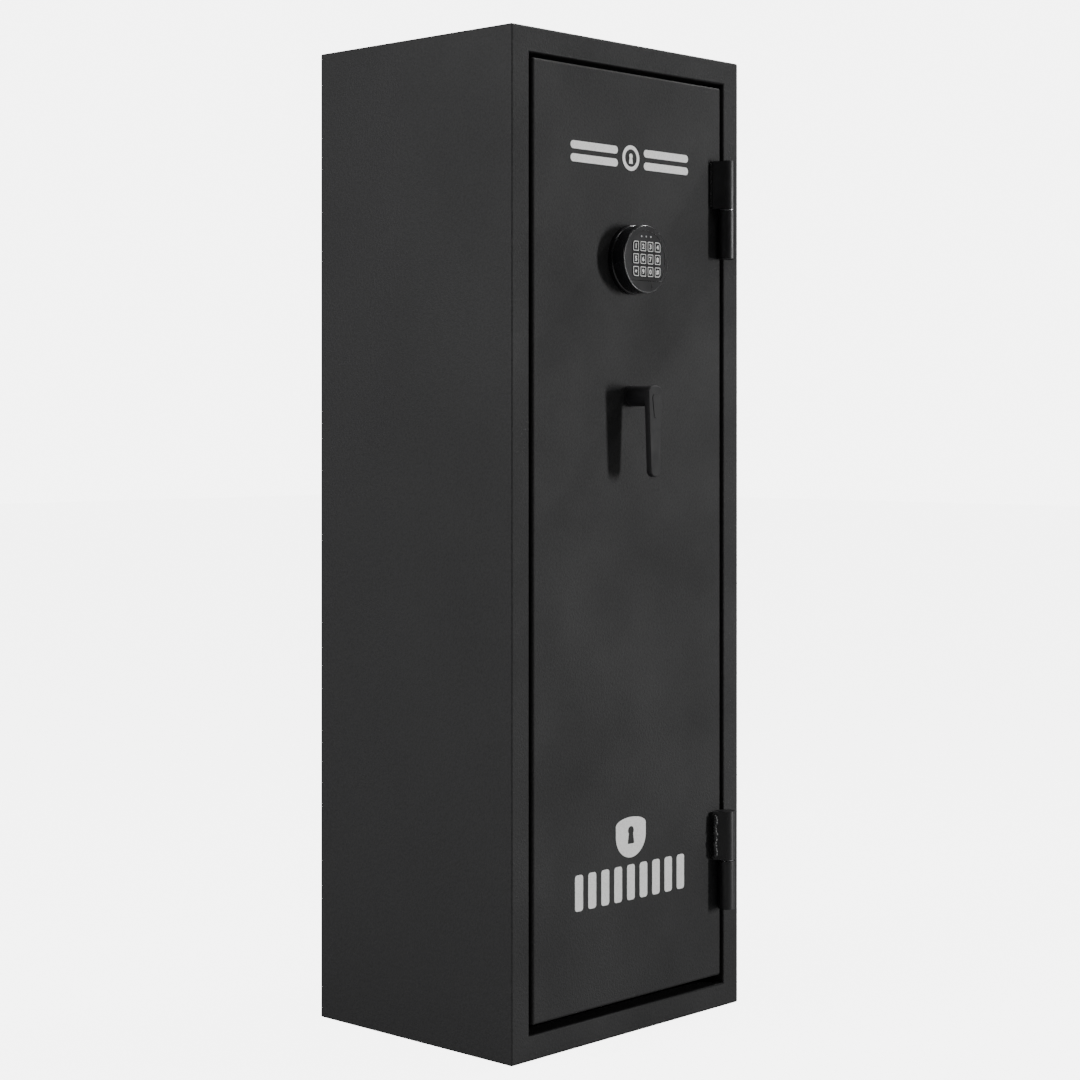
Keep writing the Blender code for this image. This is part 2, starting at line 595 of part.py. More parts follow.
# ---- Keypad -------------------------------------------------------------------------------------
def make_keypad(plastic, glossy, rubber, board_green, battery_case):
    base = turned(
        [(BASE_R, -FIT), (BASE_R, 0.0014 - BASE_OUT), (BASE_R - 0.0014, -BASE_OUT),
         (BASE_BORE_R, -BASE_OUT), (BASE_BORE_R, -FIT)],
        ROUND, 0, LOCK_Z,
    )
    add("keypad_base", base, plastic)

    back = 0.0008
    housing = turned(
        [(0, -back), (SPIGOT_R, -back), (SPIGOT_R, -BASE_OUT - FIT), (HOUSING_R, -BASE_OUT - FIT),
         (HOUSING_R, 0.0012 - HOUSING_OUT), (HOUSING_R - 0.0012, -HOUSING_OUT), (FACE_R + FIT, -HOUSING_OUT),
         (FACE_R + FIT, FACE_THICK - FACE_OUT + FIT), (CAVITY_R, FACE_THICK - FACE_OUT + FIT), (CAVITY_R, -0.0026),
         (0, -0.0026)],
        ROUND, 0, LOCK_Z,
    )
    housing = add("keypad_housing", housing, plastic)
    cut(housing, slab(-0.06, 0.06, -0.05, -COVER_OUT_NEAR, LOCK_Z - 0.06, LOCK_Z + CHORD))
    cut(housing, rod((0, depth(0.01), LEAD_Z), (0, depth(-0.0075), LEAD_Z), 0.0035))

    front = depth(COVER_STEP - HOUSING_OUT)
    cover = prism(segment_outline(HOUSING_R, CHORD - FIT), "y", front, depth(-COVER_OUT_NEAR - FIT))
    rim = [e for e in cover.edges if all(abs(v.co.y - front) < 1e-6 for v in e.verts)]
    bmesh.ops.bevel(cover, geom=rim, offset=0.0008, segments=1, affect="EDGES")
    cover = add("battery_cover", cover, plastic)
    notch_z = LOCK_Z - NOTCH_DOWN
    slot = slab(NOTCH_X - 0.0006, NOTCH_X + 0.0006, -0.05, 0.0009 - HOUSING_OUT, notch_z - 0.0035, notch_z + 0.0035)
    cut(cover, slot)

    far = FACE_OUT - FACE_THICK
    disc = rod((0, depth(-far), LOCK_Z), (0, depth(-FACE_OUT), LOCK_Z), FACE_R, ROUND)
    face = add("keypad_face", disc, glossy)
    cut(face, slab(-0.06, 0.06, -0.05, 0.0, LOCK_Z - 0.06, LOCK_Z + CHORD + FIT))
    for name, x, z, radii in key_places():
        wide = [r + FIT for r in radii]
        hole = rounded_outline(KEY_W + 2 * FIT, KEY_H + 2 * FIT, wide, (x, z))
        cut(face, prism(hole, "y", depth(-0.05), depth(0)))
        cap = rounded_outline(KEY_W, KEY_H, radii, (x, z))
        top = FACE_OUT + KEY_PROUD
        key = prism(cap, "y", depth(-top), depth(KEY_THICK - top))
        rim = [e for e in key.edges if all(abs(v.co.y - depth(-top)) < 1e-6 for v in e.verts)]
        bmesh.ops.bevel(key, geom=rim, offset=0.0006, segments=1, affect="EDGES")
        add(f"key_{name}", key, rubber, at=(x, depth(-top), z))
    for name, k in (("left", -1), ("middle", 0), ("right", 1)):
        x, z = k * LED_PITCH, LOCK_Z + LED_UP
        cut(face, rod((x, depth(-0.05), z), (x, depth(0), z), LED_R + FIT, 12))
        add(f"led_{name}", rod((x, depth(-FACE_OUT - 0.0002), z), (x, depth(-far), z), LED_R, 12), glossy)

    disc = rod((0, depth(-0.0205), LOCK_Z), (0, depth(-0.0222), LOCK_Z), BOARD_R, 24)
    board = add("keypad_circuit_board", disc, board_green)
    cut(board, slab(-0.06, 0.06, -0.05, 0.0, LOCK_Z - 0.06, LOCK_Z - 0.0262))
    cell = slab(-0.0240, 0.0240, -0.0200, -0.0030, LOCK_Z - 0.0266, LOCK_Z - 0.0010)
    add("battery", soften(cell, is_along(0), 0.002, 1), battery_case)


def segment_outline(radius, chord):
    """The part of a disc below a chord."""
    start = math.asin(chord / radius)
    low, high = math.pi - start, math.tau + start
    steps = 12
    return [
        (radius * math.cos(a), LOCK_Z + radius * math.sin(a))
        for a in (low + (high - low) * i / steps for i in range(steps + 1))
    ]


def key_places():
    """Each key's name, x, z and corner radii. The four outer corners follow the round face."""
    tight, wide = 0.0018, 0.0048
    for row, names in enumerate(KEY_ROWS):
        for column, name in enumerate(names):
            radii = [tight] * 4
            outer = {(0, 3): 0, (0, 0): 1, (2, 0): 2, (2, 3): 3}.get((row, column))
            if outer is not None:
                radii[outer] = wide
            yield name, (column - 1.5) * KEY_PITCH_X, LOCK_Z + (1 - row) * KEY_PITCH_Z, radii


# ---- Assembly -----------------------------------------------------------------------------------
def main():
    for old in list(bpy.data.objects):
        bpy.data.objects.remove(old)
    paint = finish("textured_paint", (0.030, 0.030, 0.031), 0.55)
    gloss_paint = finish("hinge_paint", (0.012, 0.012, 0.013), 0.30)
    bare = finish("zinc_plated_steel", (0.42, 0.42, 0.43), 0.40, 1.0)
    chrome = finish("chrome", (0.78, 0.78, 0.80), 0.12, 1.0)
    zinc = finish("black_zinc", (0.012, 0.012, 0.013), 0.28)
    plastic = finish("black_plastic", (0.010, 0.010, 0.011), 0.25)
    glossy = finish("keypad_face", (0.022, 0.022, 0.024), 0.30)
    rubber = finish("key_rubber", (0.05, 0.05, 0.055), 0.45)
    carpet = finish("grey_carpet", (0.09, 0.09, 0.095), 0.95)
    foam = finish("moulded_rest", (0.025, 0.025, 0.027), 0.80)
    seal = finish("seal_black", (0.02, 0.02, 0.02), 0.85)
    plug = finish("plug_rubber", (0.015, 0.015, 0.016), 0.60)
    green = finish("circuit_board", (0.02, 0.12, 0.05), 0.50)
    case = finish("battery_case", (0.10, 0.10, 0.11), 0.40)

    make_shell(paint)
    make_front_frame(paint)
    make_back(paint)
    make_lining(carpet)
    make_fittings(carpet, bare, foam)
    make_anchor_plugs(plug)
    make_hinges(gloss_paint, bare)
    make_door_shells(paint, bare, carpet, seal)
    make_dead_bar(bare)
    make_lever(zinc, bare)
    make_carriage(bare, chrome)
    make_lock(bare, plug)
    make_keypad(plastic, glossy, rubber, green, case)


main()
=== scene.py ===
"""The looks of a tall gun safe: cabinet and door, keypad, lever, hinges, bolts and carpeted inside."""

import logging
import math
from collections.abc import Callable, Iterable
from dataclasses import dataclass
from enum import Enum

import bmesh
import bpy
from bmesh.types import BMEdge, BMFace, BMVert
from bpy.types import Material, Node, NodeSocket, NodeTree, Object
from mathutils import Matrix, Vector


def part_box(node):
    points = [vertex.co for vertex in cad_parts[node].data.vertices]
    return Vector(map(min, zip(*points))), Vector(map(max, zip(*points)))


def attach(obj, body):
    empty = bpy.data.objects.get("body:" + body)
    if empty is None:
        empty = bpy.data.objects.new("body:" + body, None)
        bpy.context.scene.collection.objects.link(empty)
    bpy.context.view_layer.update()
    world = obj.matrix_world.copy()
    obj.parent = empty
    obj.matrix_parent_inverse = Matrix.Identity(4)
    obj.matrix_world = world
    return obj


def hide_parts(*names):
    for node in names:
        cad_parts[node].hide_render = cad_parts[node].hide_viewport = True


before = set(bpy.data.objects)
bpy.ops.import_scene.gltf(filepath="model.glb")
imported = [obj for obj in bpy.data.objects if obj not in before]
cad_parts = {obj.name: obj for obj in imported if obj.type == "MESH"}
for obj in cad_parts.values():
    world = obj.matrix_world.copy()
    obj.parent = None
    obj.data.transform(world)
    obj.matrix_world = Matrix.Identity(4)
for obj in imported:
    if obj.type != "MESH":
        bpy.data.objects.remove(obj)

LOG = logging.getLogger("gun_safe")


class Body(str, Enum):
    """The moving groups of the safe."""

    CABINET = "cabinet"
    DOOR = "door"
    HANDLE = "handle"
    BOLTWORK = "boltwork"
    LOCK_BOLT = "lock_bolt"
    COVER = "battery_cover"


class Axis(Enum):
    """The way that a round piece points, as the turn that lays a Z cylinder along it."""

    X = (0.0, math.pi / 2, 0.0)
    Y = (math.pi / 2, 0.0, 0.0)
    Z = (0.0, 0.0, 0.0)


# ---- Modelling by hand ----------------------------------------------------------------------------
class Bench:
    """Modelling steps, each done as with the mouse: pick, then use one tool."""

    @staticmethod
    def clear() -> None:
        """Deselects every object."""
        bpy.ops.object.select_all(action="DESELECT")

    @staticmethod
    def pick(obj: Object) -> Object:
        """Makes an object the only selected one, and the active one.

        Args:
            obj: the object to pick.

        Returns:
            The same object.
        """
        Bench.clear()
        obj.select_set(True)
        bpy.context.view_layer.objects.active = obj
        return obj

    @staticmethod
    def named(name: str) -> Object:
        """Names the active object, applies its place to its mesh and returns it."""
        obj = bpy.context.active_object
        obj.name = obj.data.name = name
        Bench.pick(obj)
        bpy.ops.object.transform_apply(location=True, rotation=True, scale=True)
        return obj

    @staticmethod
    def cube(name: str, low: Vector, high: Vector) -> Object:
        """Adds a block between two corners.

        Args:
            name: the new piece's name.
            low: the corner with the lowest coordinates.
            high: the corner with the highest.

        Returns:
            The new object.
        """
        Bench.clear()
        low, high = Vector(low), Vector(high)
        bpy.ops.mesh.primitive_cube_add(size=1.0, location=(low + high) / 2, scale=high - low)
        return Bench.named(name)

    @staticmethod
    def cylinder(
        name: str, centre: Vector, radius: float, length: float, axis: Axis, sides: int = 96
    ) -> Object:
        """Adds a cylinder.

        Args:
            name: the new piece's name.
            centre: its middle.
            radius: its radius.
            length: its length along the axis.
            axis: the way it points.
            sides: how many sides it has.

        Returns:
            The new object.
        """
        Bench.clear()
        bpy.ops.mesh.primitive_cylinder_add(
            vertices=sides, radius=radius, depth=length, location=centre, rotation=axis.value
        )
        return Bench.named(name)

    @staticmethod
    def apply(obj: Object, kind: str, **settings: object) -> Object:
        """Adds a modifier with these settings and applies it.

        Args:
            obj: the object to change.
            kind: the modifier's type.
            settings: its properties.

        Returns:
            The same object.
        """
        Bench.pick(obj)
        step = obj.modifiers.new(kind.lower(), kind)
        for key, value in settings.items():
            setattr(step, key, value)
        bpy.ops.object.modifier_apply(modifier=step.name)
        return obj

    @staticmethod
    def combine(obj: Object, tool: Object, operation: str) -> Object:
        """Cuts, joins or intersects an object with a tool, which is used up."""
        Bench.apply(obj, "BOOLEAN", object=tool, operation=operation, solver="EXACT")
        bpy.data.objects.remove(tool)
        return obj

    @staticmethod
    def choose(
        obj: Object,
        faces: Callable[[BMFace], bool] | None = None,
        edges: Callable[[BMEdge], bool] | None = None,
        verts: Callable[[BMVert], bool] | None = None,
    ) -> None:
        """Goes into edit mode and selects the faces, edges or vertices that a test accepts.

        Args:
            obj: the object to edit.
            faces: the test for faces, when faces are wanted.
            edges: the test for edges.
            verts: the test for vertices.
        """
        if bpy.context.mode != "EDIT_MESH":
            Bench.pick(obj)
            bpy.ops.object.mode_set(mode="EDIT")
        wanted = "FACE" if faces else "EDGE" if edges else "VERT"
        bpy.ops.mesh.select_mode(type=wanted)
        bpy.ops.mesh.select_all(action="DESELECT")
        shape = bmesh.from_edit_mesh(obj.data)
        for pool, test in ((shape.faces, faces), (shape.edges, edges), (shape.verts, verts)):
            for item in pool if test else ():
                item.select_set(bool(test(item)))
        shape.select_flush_mode()
        bmesh.update_edit_mesh(obj.data)

    @staticmethod
    def done() -> None:
        """Leaves edit mode."""
        bpy.ops.object.mode_set(mode="OBJECT")

    @staticmethod
    def bevel(obj: Object, width: float, segments: int, **chosen: object) -> None:
        """Bevels the edges that a test accepts, or those round the faces that one accepts.

        Args:
            obj: the object to bevel.
            width: how far the rounding reaches from each edge.
            segments: how many facets it has.
            chosen: the test, as faces or edges, as Bench.choose takes it.
        """
        Bench.choose(obj, **chosen)
        bpy.ops.mesh.bevel(offset=width, segments=segments, profile=0.5, affect="EDGES")
        Bench.done()

    @staticmethod
    def round_edges(obj: Object, width: float, segments: int = 3, angle: float = 40.0) -> Object:
        """Rounds every edge that is sharper than an angle, then shades the piece smooth.

        Args:
            obj: the object to round.
            width: how far the rounding reaches from each edge.
            segments: how many facets each rounding has.
            angle: the sharpness in degrees from which an edge is rounded.

        Returns:
            The same object.
        """
        limit = {"limit_method": "ANGLE", "angle_limit": math.radians(angle)}
        Bench.apply(obj, "BEVEL", width=width, segments=segments, **limit)
        return Bench.smooth(obj)

    @staticmethod
    def smooth(obj: Object, angle: float = 42.0) -> Object:
        """Shades a piece smooth up to an angle, with its flats kept flat."""
        Bench.pick(obj)
        bpy.ops.object.shade_smooth_by_angle(angle=math.radians(angle), keep_sharp_edges=False)
        return Bench.apply(obj, "WEIGHTED_NORMAL", keep_sharp=True, weight=100)

    @staticmethod
    def outward(obj: Object) -> None:
        """Merges doubled points and turns every face outwards."""
        Bench.pick(obj)
        bpy.ops.object.mode_set(mode="EDIT")
        bpy.ops.mesh.select_all(action="SELECT")
        bpy.ops.mesh.remove_doubles(threshold=1e-6)
        bpy.ops.mesh.normals_make_consistent(inside=False)
        Bench.done()

    @staticmethod
    def joined(name: str, objs: list[Object]) -> Object:
        """Makes several objects one, under a name."""
        Bench.pick(objs[0])
        for obj in objs:
            obj.select_set(True)
        if len(objs) > 1:
            bpy.ops.object.join()
        return Bench.named(name)

    @staticmethod
    def copy_of(node: str, name: str) -> Object:
        """Copies a frame node, with its triangles merged into clean faces.

        Args:
            node: the frame node to copy.
            name: the copy's name.

        Returns:
            The copy, at the node's place.
        """
        made = bpy.data.objects.new(name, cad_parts[node].data.copy())
        bpy.context.scene.collection.objects.link(made)
        made.data.name = name
        made.data.materials.clear()
        Bench.pick(made)
        if made.data.has_custom_normals:
            bpy.ops.mesh.customdata_custom_splitnormals_clear()
        bpy.ops.object.mode_set(mode="EDIT")
        bpy.ops.mesh.select_all(action="SELECT")
        bpy.ops.mesh.remove_doubles(threshold=2e-6)
        bpy.ops.mesh.dissolve_limited(angle_limit=math.radians(0.5))
        Bench.done()
        return made


# ---- Material building blocks ---------------------------------------------------------------------
class Graph:
    """A node tree being wired up, with short names for the steps that materials repeat."""

    def __init__(self, tree: NodeTree) -> None:
        """Starts on a tree."""
        self.tree = tree

    def node(self, kind: str, **inputs: object) -> Node:
        """Adds a node and sets or links its inputs.

        Args:
            kind: the node's type, without its ShaderNode prefix.
            inputs: values or output sockets, by input name with _ for a space.

        Returns:
            The new node.
        """
        made = self.tree.nodes.new(f"ShaderNode{kind}")
        for key, value in inputs.items():
            self.feed(made.inputs[key.replace("_", " ")], value)
        return made

    def feed(self, socket: NodeSocket, value: object) -> None:
        """Links an output to a socket, or sets the socket's value."""
        if isinstance(value, NodeSocket):
            self.tree.links.new(value, socket)
        else:
            socket.default_value = value

    def math(self, operation: str, first: object, second: object = 0.0) -> NodeSocket:
        """Adds a math node on two inputs and returns its result."""
        made = self.tree.nodes.new("ShaderNodeMath")
        made.operation = operation
        self.feed(made.inputs[0], first)
        self.feed(made.inputs[1], second)
        return made.outputs[0]

    def place(self) -> NodeSocket:
        """Returns the piece's own coordinates."""
        return self.node("TexCoord").outputs["Object"]

    def noise(self, place: object, scale: object, detail: float, distortion: float = 0.0) -> NodeSocket:
        """Returns a noise from 0 to 1."""
        made = self.node("TexNoise", Vector=place, Scale=scale, Detail=detail, Distortion=distortion)
        return made.outputs["Fac"]

    def relief(self, shader: Node, height: object, strength: float, depth: float) -> None:
        """Bumps a shader's surface by a height."""
        bump = self.node("Bump", Strength=strength, Distance=depth, Height=height)
        self.feed(shader.inputs["Normal"], bump.outputs["Normal"])

    def remap(
        self, value: object, low: float, high: float, out_low: float, out_high: float
    ) -> NodeSocket:
        """Maps the range low to high onto out_low to out_high, clamped."""
        ends = {"From_Min": low, "From_Max": high, "To_Min": out_low, "To_Max": out_high}
        return self.node("MapRange", Value=value, **ends).outputs["Result"]

    def blend(self, amount: object, first: object, second: object) -> NodeSocket:
        """Mixes two colours."""
        made = self.tree.nodes.new("ShaderNodeMix")
        made.data_type = "RGBA"
        self.feed(made.inputs[0], amount)
        self.feed(made.inputs[6], first)
        self.feed(made.inputs[7], second)
        return made.outputs[2]


def group(name: str, inputs: dict[str, float], outputs: list[str]) -> tuple[NodeTree, Graph]:
    """Makes an empty shader group with float sockets.

    Args:
        name: the group's name.
        inputs: each input's name and default.
        outputs: the names of its outputs.

    Returns:
        The group's tree and a graph on it.
    """
    tree = bpy.data.node_groups.new(name, "ShaderNodeTree")
    kind = "NodeSocketFloat"
    for key, value in inputs.items():
        tree.interface.new_socket(key, in_out="INPUT", socket_type=kind).default_value = value
    for key in outputs:
        tree.interface.new_socket(key, in_out="OUTPUT", socket_type=kind)
    return tree, Graph(tree)


def powder_group() -> NodeTree:
    """Builds the pebbled height of a textured coating, and its broad unevenness."""
    tree, g = group("powder_texture", {"Pebble Scale": 620.0, "Broad Scale": 5.0}, ["Height", "Broad"])
    given = tree.nodes.new("NodeGroupInput")
    place = g.place()
    pebbles = g.node("TexVoronoi", Vector=place, Scale=given.outputs["Pebble Scale"])
    pebbles.feature = "SMOOTH_F1"
    fine_scale = g.math("MULTIPLY", given.outputs["Pebble Scale"], 0.42)
    fine = g.math("MULTIPLY", g.noise(place, fine_scale, 4.0), 1.6)
    made = tree.nodes.new("NodeGroupOutput")
    g.feed(made.inputs["Height"], g.math("ADD", pebbles.outputs["Distance"], fine))
    g.feed(made.inputs["Broad"], g.noise(place, given.outputs["Broad Scale"], 3.0))
    return tree


def handling_group() -> NodeTree:
    """Builds the faint smears and the fine grain that moulded and plated surfaces carry."""
    tree, g = group("handling", {"Grain Scale": 900.0, "Smear Scale": 40.0}, ["Grain", "Smear"])
    given = tree.nodes.new("NodeGroupInput")
    place = g.place()
    made = tree.nodes.new("NodeGroupOutput")
    g.feed(made.inputs["Grain"], g.noise(place, given.outputs["Grain Scale"], 2.0))
    g.feed(made.inputs["Smear"], g.noise(place, given.outputs["Smear Scale"], 6.0, 0.6))
    return tree


POWDER = powder_group()
HANDLING = handling_group()
Triple = tuple[float, float, float]


@dataclass(frozen=True)
class Finish:
    """What every finish has: a name, the record's slot that it stands for, and a colour."""

    name: str
    slot: str
    colour: Triple
    roughness: float = 0.5
    metallic: float = 0.0
    specular: float = 0.5

    def start(self) -> tuple[Material, Graph, Node]:
        """Makes the material with its shader set to the plain values.

        Returns:
            The material, a graph on its tree and its Principled shader.
        """
        made = bpy.data.materials.new(self.name)
        made.use_nodes = True
        shader = made.node_tree.nodes["Principled BSDF"]
        shader.inputs["Base Color"].default_value = (*self.colour, 1.0)
        shader.inputs["Roughness"].default_value = self.roughness
        shader.inputs["Metallic"].default_value = self.metallic
        shader.inputs["Specular IOR Level"].default_value = self.specular
        made.diffuse_color = (*self.colour, 1.0)
        return made, Graph(made.node_tree), shader

    def vary_colour(self, g: Graph, shader: Node, amount: object, darker: float, lighter: float) -> None:
        """Varies the colour between two factors of it."""
        low = (*(c * darker for c in self.colour), 1.0)
        high = (*(min(1.0, c * lighter) for c in self.colour), 1.0)
        g.feed(shader.inputs["Base Color"], g.blend(amount, low, high))

    def vary_roughness(
        self, g: Graph, shader: Node, amount: object, spread: float, least: float
    ) -> None:
        """Varies the roughness by a spread either way, but not below a least value."""
        low = max(least, self.roughness - spread)
        rough = g.remap(amount, 0.3, 0.7, low, self.roughness + spread)
        g.feed(shader.inputs["Roughness"], rough)

    def material(self) -> Material:
        """Returns the finished material, built the first time it is asked for."""
        return bpy.data.materials.get(self.name) or self.build()

    def build(self) -> Material:
        """Builds the material's nodes."""
        raise NotImplementedError


@dataclass(frozen=True)
class Powder(Finish):
    """Textured powder coat: fine pebbles, slightly uneven sheen."""

    pebble_scale: float = 620.0
    bump: float = 0.80
    depth: float = 0.00032

    def build(self) -> Material:
        """Builds the material's nodes."""
        made, g, shader = self.start()
        look = g.tree.nodes.new("ShaderNodeGroup")
        look.node_tree = POWDER
        look.inputs["Pebble Scale"].default_value = self.pebble_scale
        self.vary_colour(g, shader, g.remap(look.outputs["Height"], 0.75, 1.45, 0.0, 1.0), 0.80, 1.25)
        self.vary_roughness(g, shader, look.outputs["Broad"], 0.05, 0.0)
        g.relief(shader, look.outputs["Height"], self.bump, self.depth)
        return made


@dataclass(frozen=True)
class Moulded(Finish):
    """Plastic, rubber, gloss paint or cast metal: fine grain and faint smears."""

    grain_scale: float = 900.0
    bump: float = 0.15
    depth: float = 0.00005
    spread: float = 0.05

    def build(self) -> Material:
        """Builds the material's nodes."""
        made, g, shader = self.start()
        look = g.tree.nodes.new("ShaderNodeGroup")
        look.node_tree = HANDLING
        look.inputs["Grain Scale"].default_value = self.grain_scale
        self.vary_colour(g, shader, look.outputs["Smear"], 0.88, 1.12)
        self.vary_roughness(g, shader, look.outputs["Smear"], self.spread, 0.03)
        g.relief(shader, look.outputs["Grain"], self.bump, self.depth)
        return made


@dataclass(frozen=True)
class Plated(Finish):
    """Rolled or turned steel under plating: fine lines drawn one way."""

    lines: Triple = (60.0, 60.0, 1400.0)
    metallic: float = 1.0

    def build(self) -> Material:
        """Builds the material's nodes."""
        made, g, shader = self.start()
        place = g.node("Mapping", Vector=g.place(), Scale=self.lines)
        drawn = g.noise(place.outputs["Vector"], 1.0, 3.0)
        self.vary_colour(g, shader, g.noise(g.place(), 18.0, 5.0), 0.82, 1.12)
        self.vary_roughness(g, shader, drawn, 0.08, 0.04)
        g.relief(shader, drawn, 0.10, 0.00004)
        return made


@dataclass(frozen=True)
class Carpet(Finish):
    """Short needle-punched pile: matted fibres in several greys."""

    roughness: float = 0.95

    def build(self) -> Material:
        """Builds the material's nodes."""
        made, g, shader = self.start()
        place = g.place()
        fibre = g.noise(place, 1150.0, 5.0, 1.8)
        tuft = g.node("TexVoronoi", Vector=place, Scale=420.0)
        patch = g.math("MULTIPLY", g.noise(place, 22.0, 4.0), 0.35)
        matted = g.math("ADD", g.math("MULTIPLY", fibre, 0.8), patch)
        self.vary_colour(g, shader, g.remap(matted, 0.35, 0.85, 0.0, 1.0), 0.35, 1.75)
        height = g.math("ADD", fibre, g.math("MULTIPLY", tuft.outputs["Distance"], 0.9))
        g.relief(shader, height, 0.9, 0.0009)
        shader.inputs["Sheen Weight"].default_value = 0.35
        shader.inputs["Sheen Roughness"].default_value = 0.5
        return made


@dataclass(frozen=True)
class Ink(Finish):
    """Printed ink: near even, with a trace of thinner spots."""

    roughness: float = 0.45

    def build(self) -> Material:
        """Builds the material's nodes."""
        made, g, shader = self.start()
        spots = g.noise(g.place(), 700.0, 3.0)
        self.vary_colour(g, shader, g.remap(spots, 0.35, 0.6, 0.0, 1.0), 0.86, 1.04)
        g.relief(shader, spots, 0.2, 0.00005)
        return made


@dataclass(frozen=True)
class Circuit(Finish):
    """Circuit board: solder mask over a grid of tracks."""

    def build(self) -> Material:
        """Builds the material's nodes."""
        made, g, shader = self.start()
        place = g.node("Mapping", Vector=g.place(), Rotation=(math.pi / 2, 0.0, 0.0))
        tracks = g.node("TexBrick", Vector=place.outputs["Vector"], Scale=160.0, Mortar_Size=0.06)
        self.vary_colour(g, shader, tracks.outputs["Fac"], 0.7, 1.9)
        g.relief(shader, tracks.outputs["Fac"], 0.3, 0.00005)
        return made


PAINT = Powder("black_textured_paint", "textured_paint", (0.013, 0.013, 0.0135), 0.66, specular=0.30)
HINGE_PAINT = Moulded(
    "black_gloss_paint", "hinge_paint", (0.010, 0.010, 0.011), 0.42,
    grain_scale=260.0, bump=0.5, specular=0.40,
)
ZINC = Moulded(
    "satin_black_zinc", "black_zinc", (0.014, 0.014, 0.015), 0.60, grain_scale=500.0, specular=0.24
)
GLOSS = Moulded("gloss_black_plastic", "black_plastic", (0.008, 0.008, 0.009), 0.26, grain_scale=500.0)
FACE = Moulded("satin_keypad_plate", "keypad_face", (0.013, 0.013, 0.014), 0.68, bump=0.3, specular=0.30)
KEY = Moulded("moulded_key", "key_rubber", (0.013, 0.013, 0.014), 0.68, bump=0.3, specular=0.32)
LENS = Moulded("indicator_lens", "keypad_face", (0.42, 0.42, 0.44), 0.20)
INK = Ink("white_print", "key_rubber", (0.93, 0.93, 0.92))
DOOR_INK = Ink("white_door_print", "textured_paint", (0.93, 0.93, 0.92))
STEEL = Plated("zinc_plated_sheet", "zinc_plated_steel", (0.44, 0.44, 0.46), 0.38)
BRIGHT = Plated("polished_bolt_steel", "chrome", (0.72, 0.72, 0.74), 0.14, lines=(1600.0, 40.0, 40.0))
CARPET = Carpet("grey_pile_carpet", "grey_carpet", (0.075, 0.075, 0.080))
REST = Moulded(
    "foam_faced_rest", "moulded_rest", (0.024, 0.024, 0.026), 0.78,
    grain_scale=420.0, bump=0.8, depth=0.0003,
)
SEAL = Moulded(
    "seal_strip", "seal_black", (0.020, 0.020, 0.021), 0.82, grain_scale=800.0, bump=0.7, depth=0.0002
)
RUBBER = Moulded("plug_and_lead_rubber", "plug_rubber", (0.018, 0.018, 0.019), 0.58, bump=0.4)
BOARD = Circuit("green_circuit_board", "circuit_board", (0.020, 0.110, 0.050), 0.40)
CELL = Moulded("battery_jacket", "battery_case", (0.11, 0.11, 0.12), 0.36)


def finish_piece(obj: Object, finish: Finish, body: str, *stands_for: str) -> Object:
    """Gives a piece its material and body, and hides the frame nodes that it stands for.

    Args:
        obj: the finished piece.
        finish: its finish.
        body: the body it moves with.
        stands_for: the frame nodes that it replaces.

    Returns:
        The same piece.
    """
    obj.data.materials.clear()
    obj.data.materials.append(finish.material())
    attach(obj, body.value if isinstance(body, Enum) else body)
    if stands_for:
        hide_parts(*stands_for)
    LOG.info("%s: %d faces, on %s", obj.name, len(obj.data.polygons), body)
    return obj


def softened(
    node: str, name: str, finish: Finish, body: str, width: float, segments: int = 3, angle: float = 40.0
) -> None:
    """Copies a frame node, softens its edges and finishes the copy in the node's place.

    Args:
        node: the frame node.
        name: the copy's name.
        finish: the copy's finish.
        body: the body it moves with.
        width: how far the rounding reaches from each edge.
        segments: how many facets each rounding has.
        angle: the sharpness in degrees from which an edge is rounded.
    """
    piece = Bench.copy_of(node, name)
    Bench.round_edges(piece, width, segments, angle)
    finish_piece(piece, finish, body, node)


def front_y() -> float:
    """Returns the y of the cabinet's front face."""
    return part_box("front_frame")[0].y


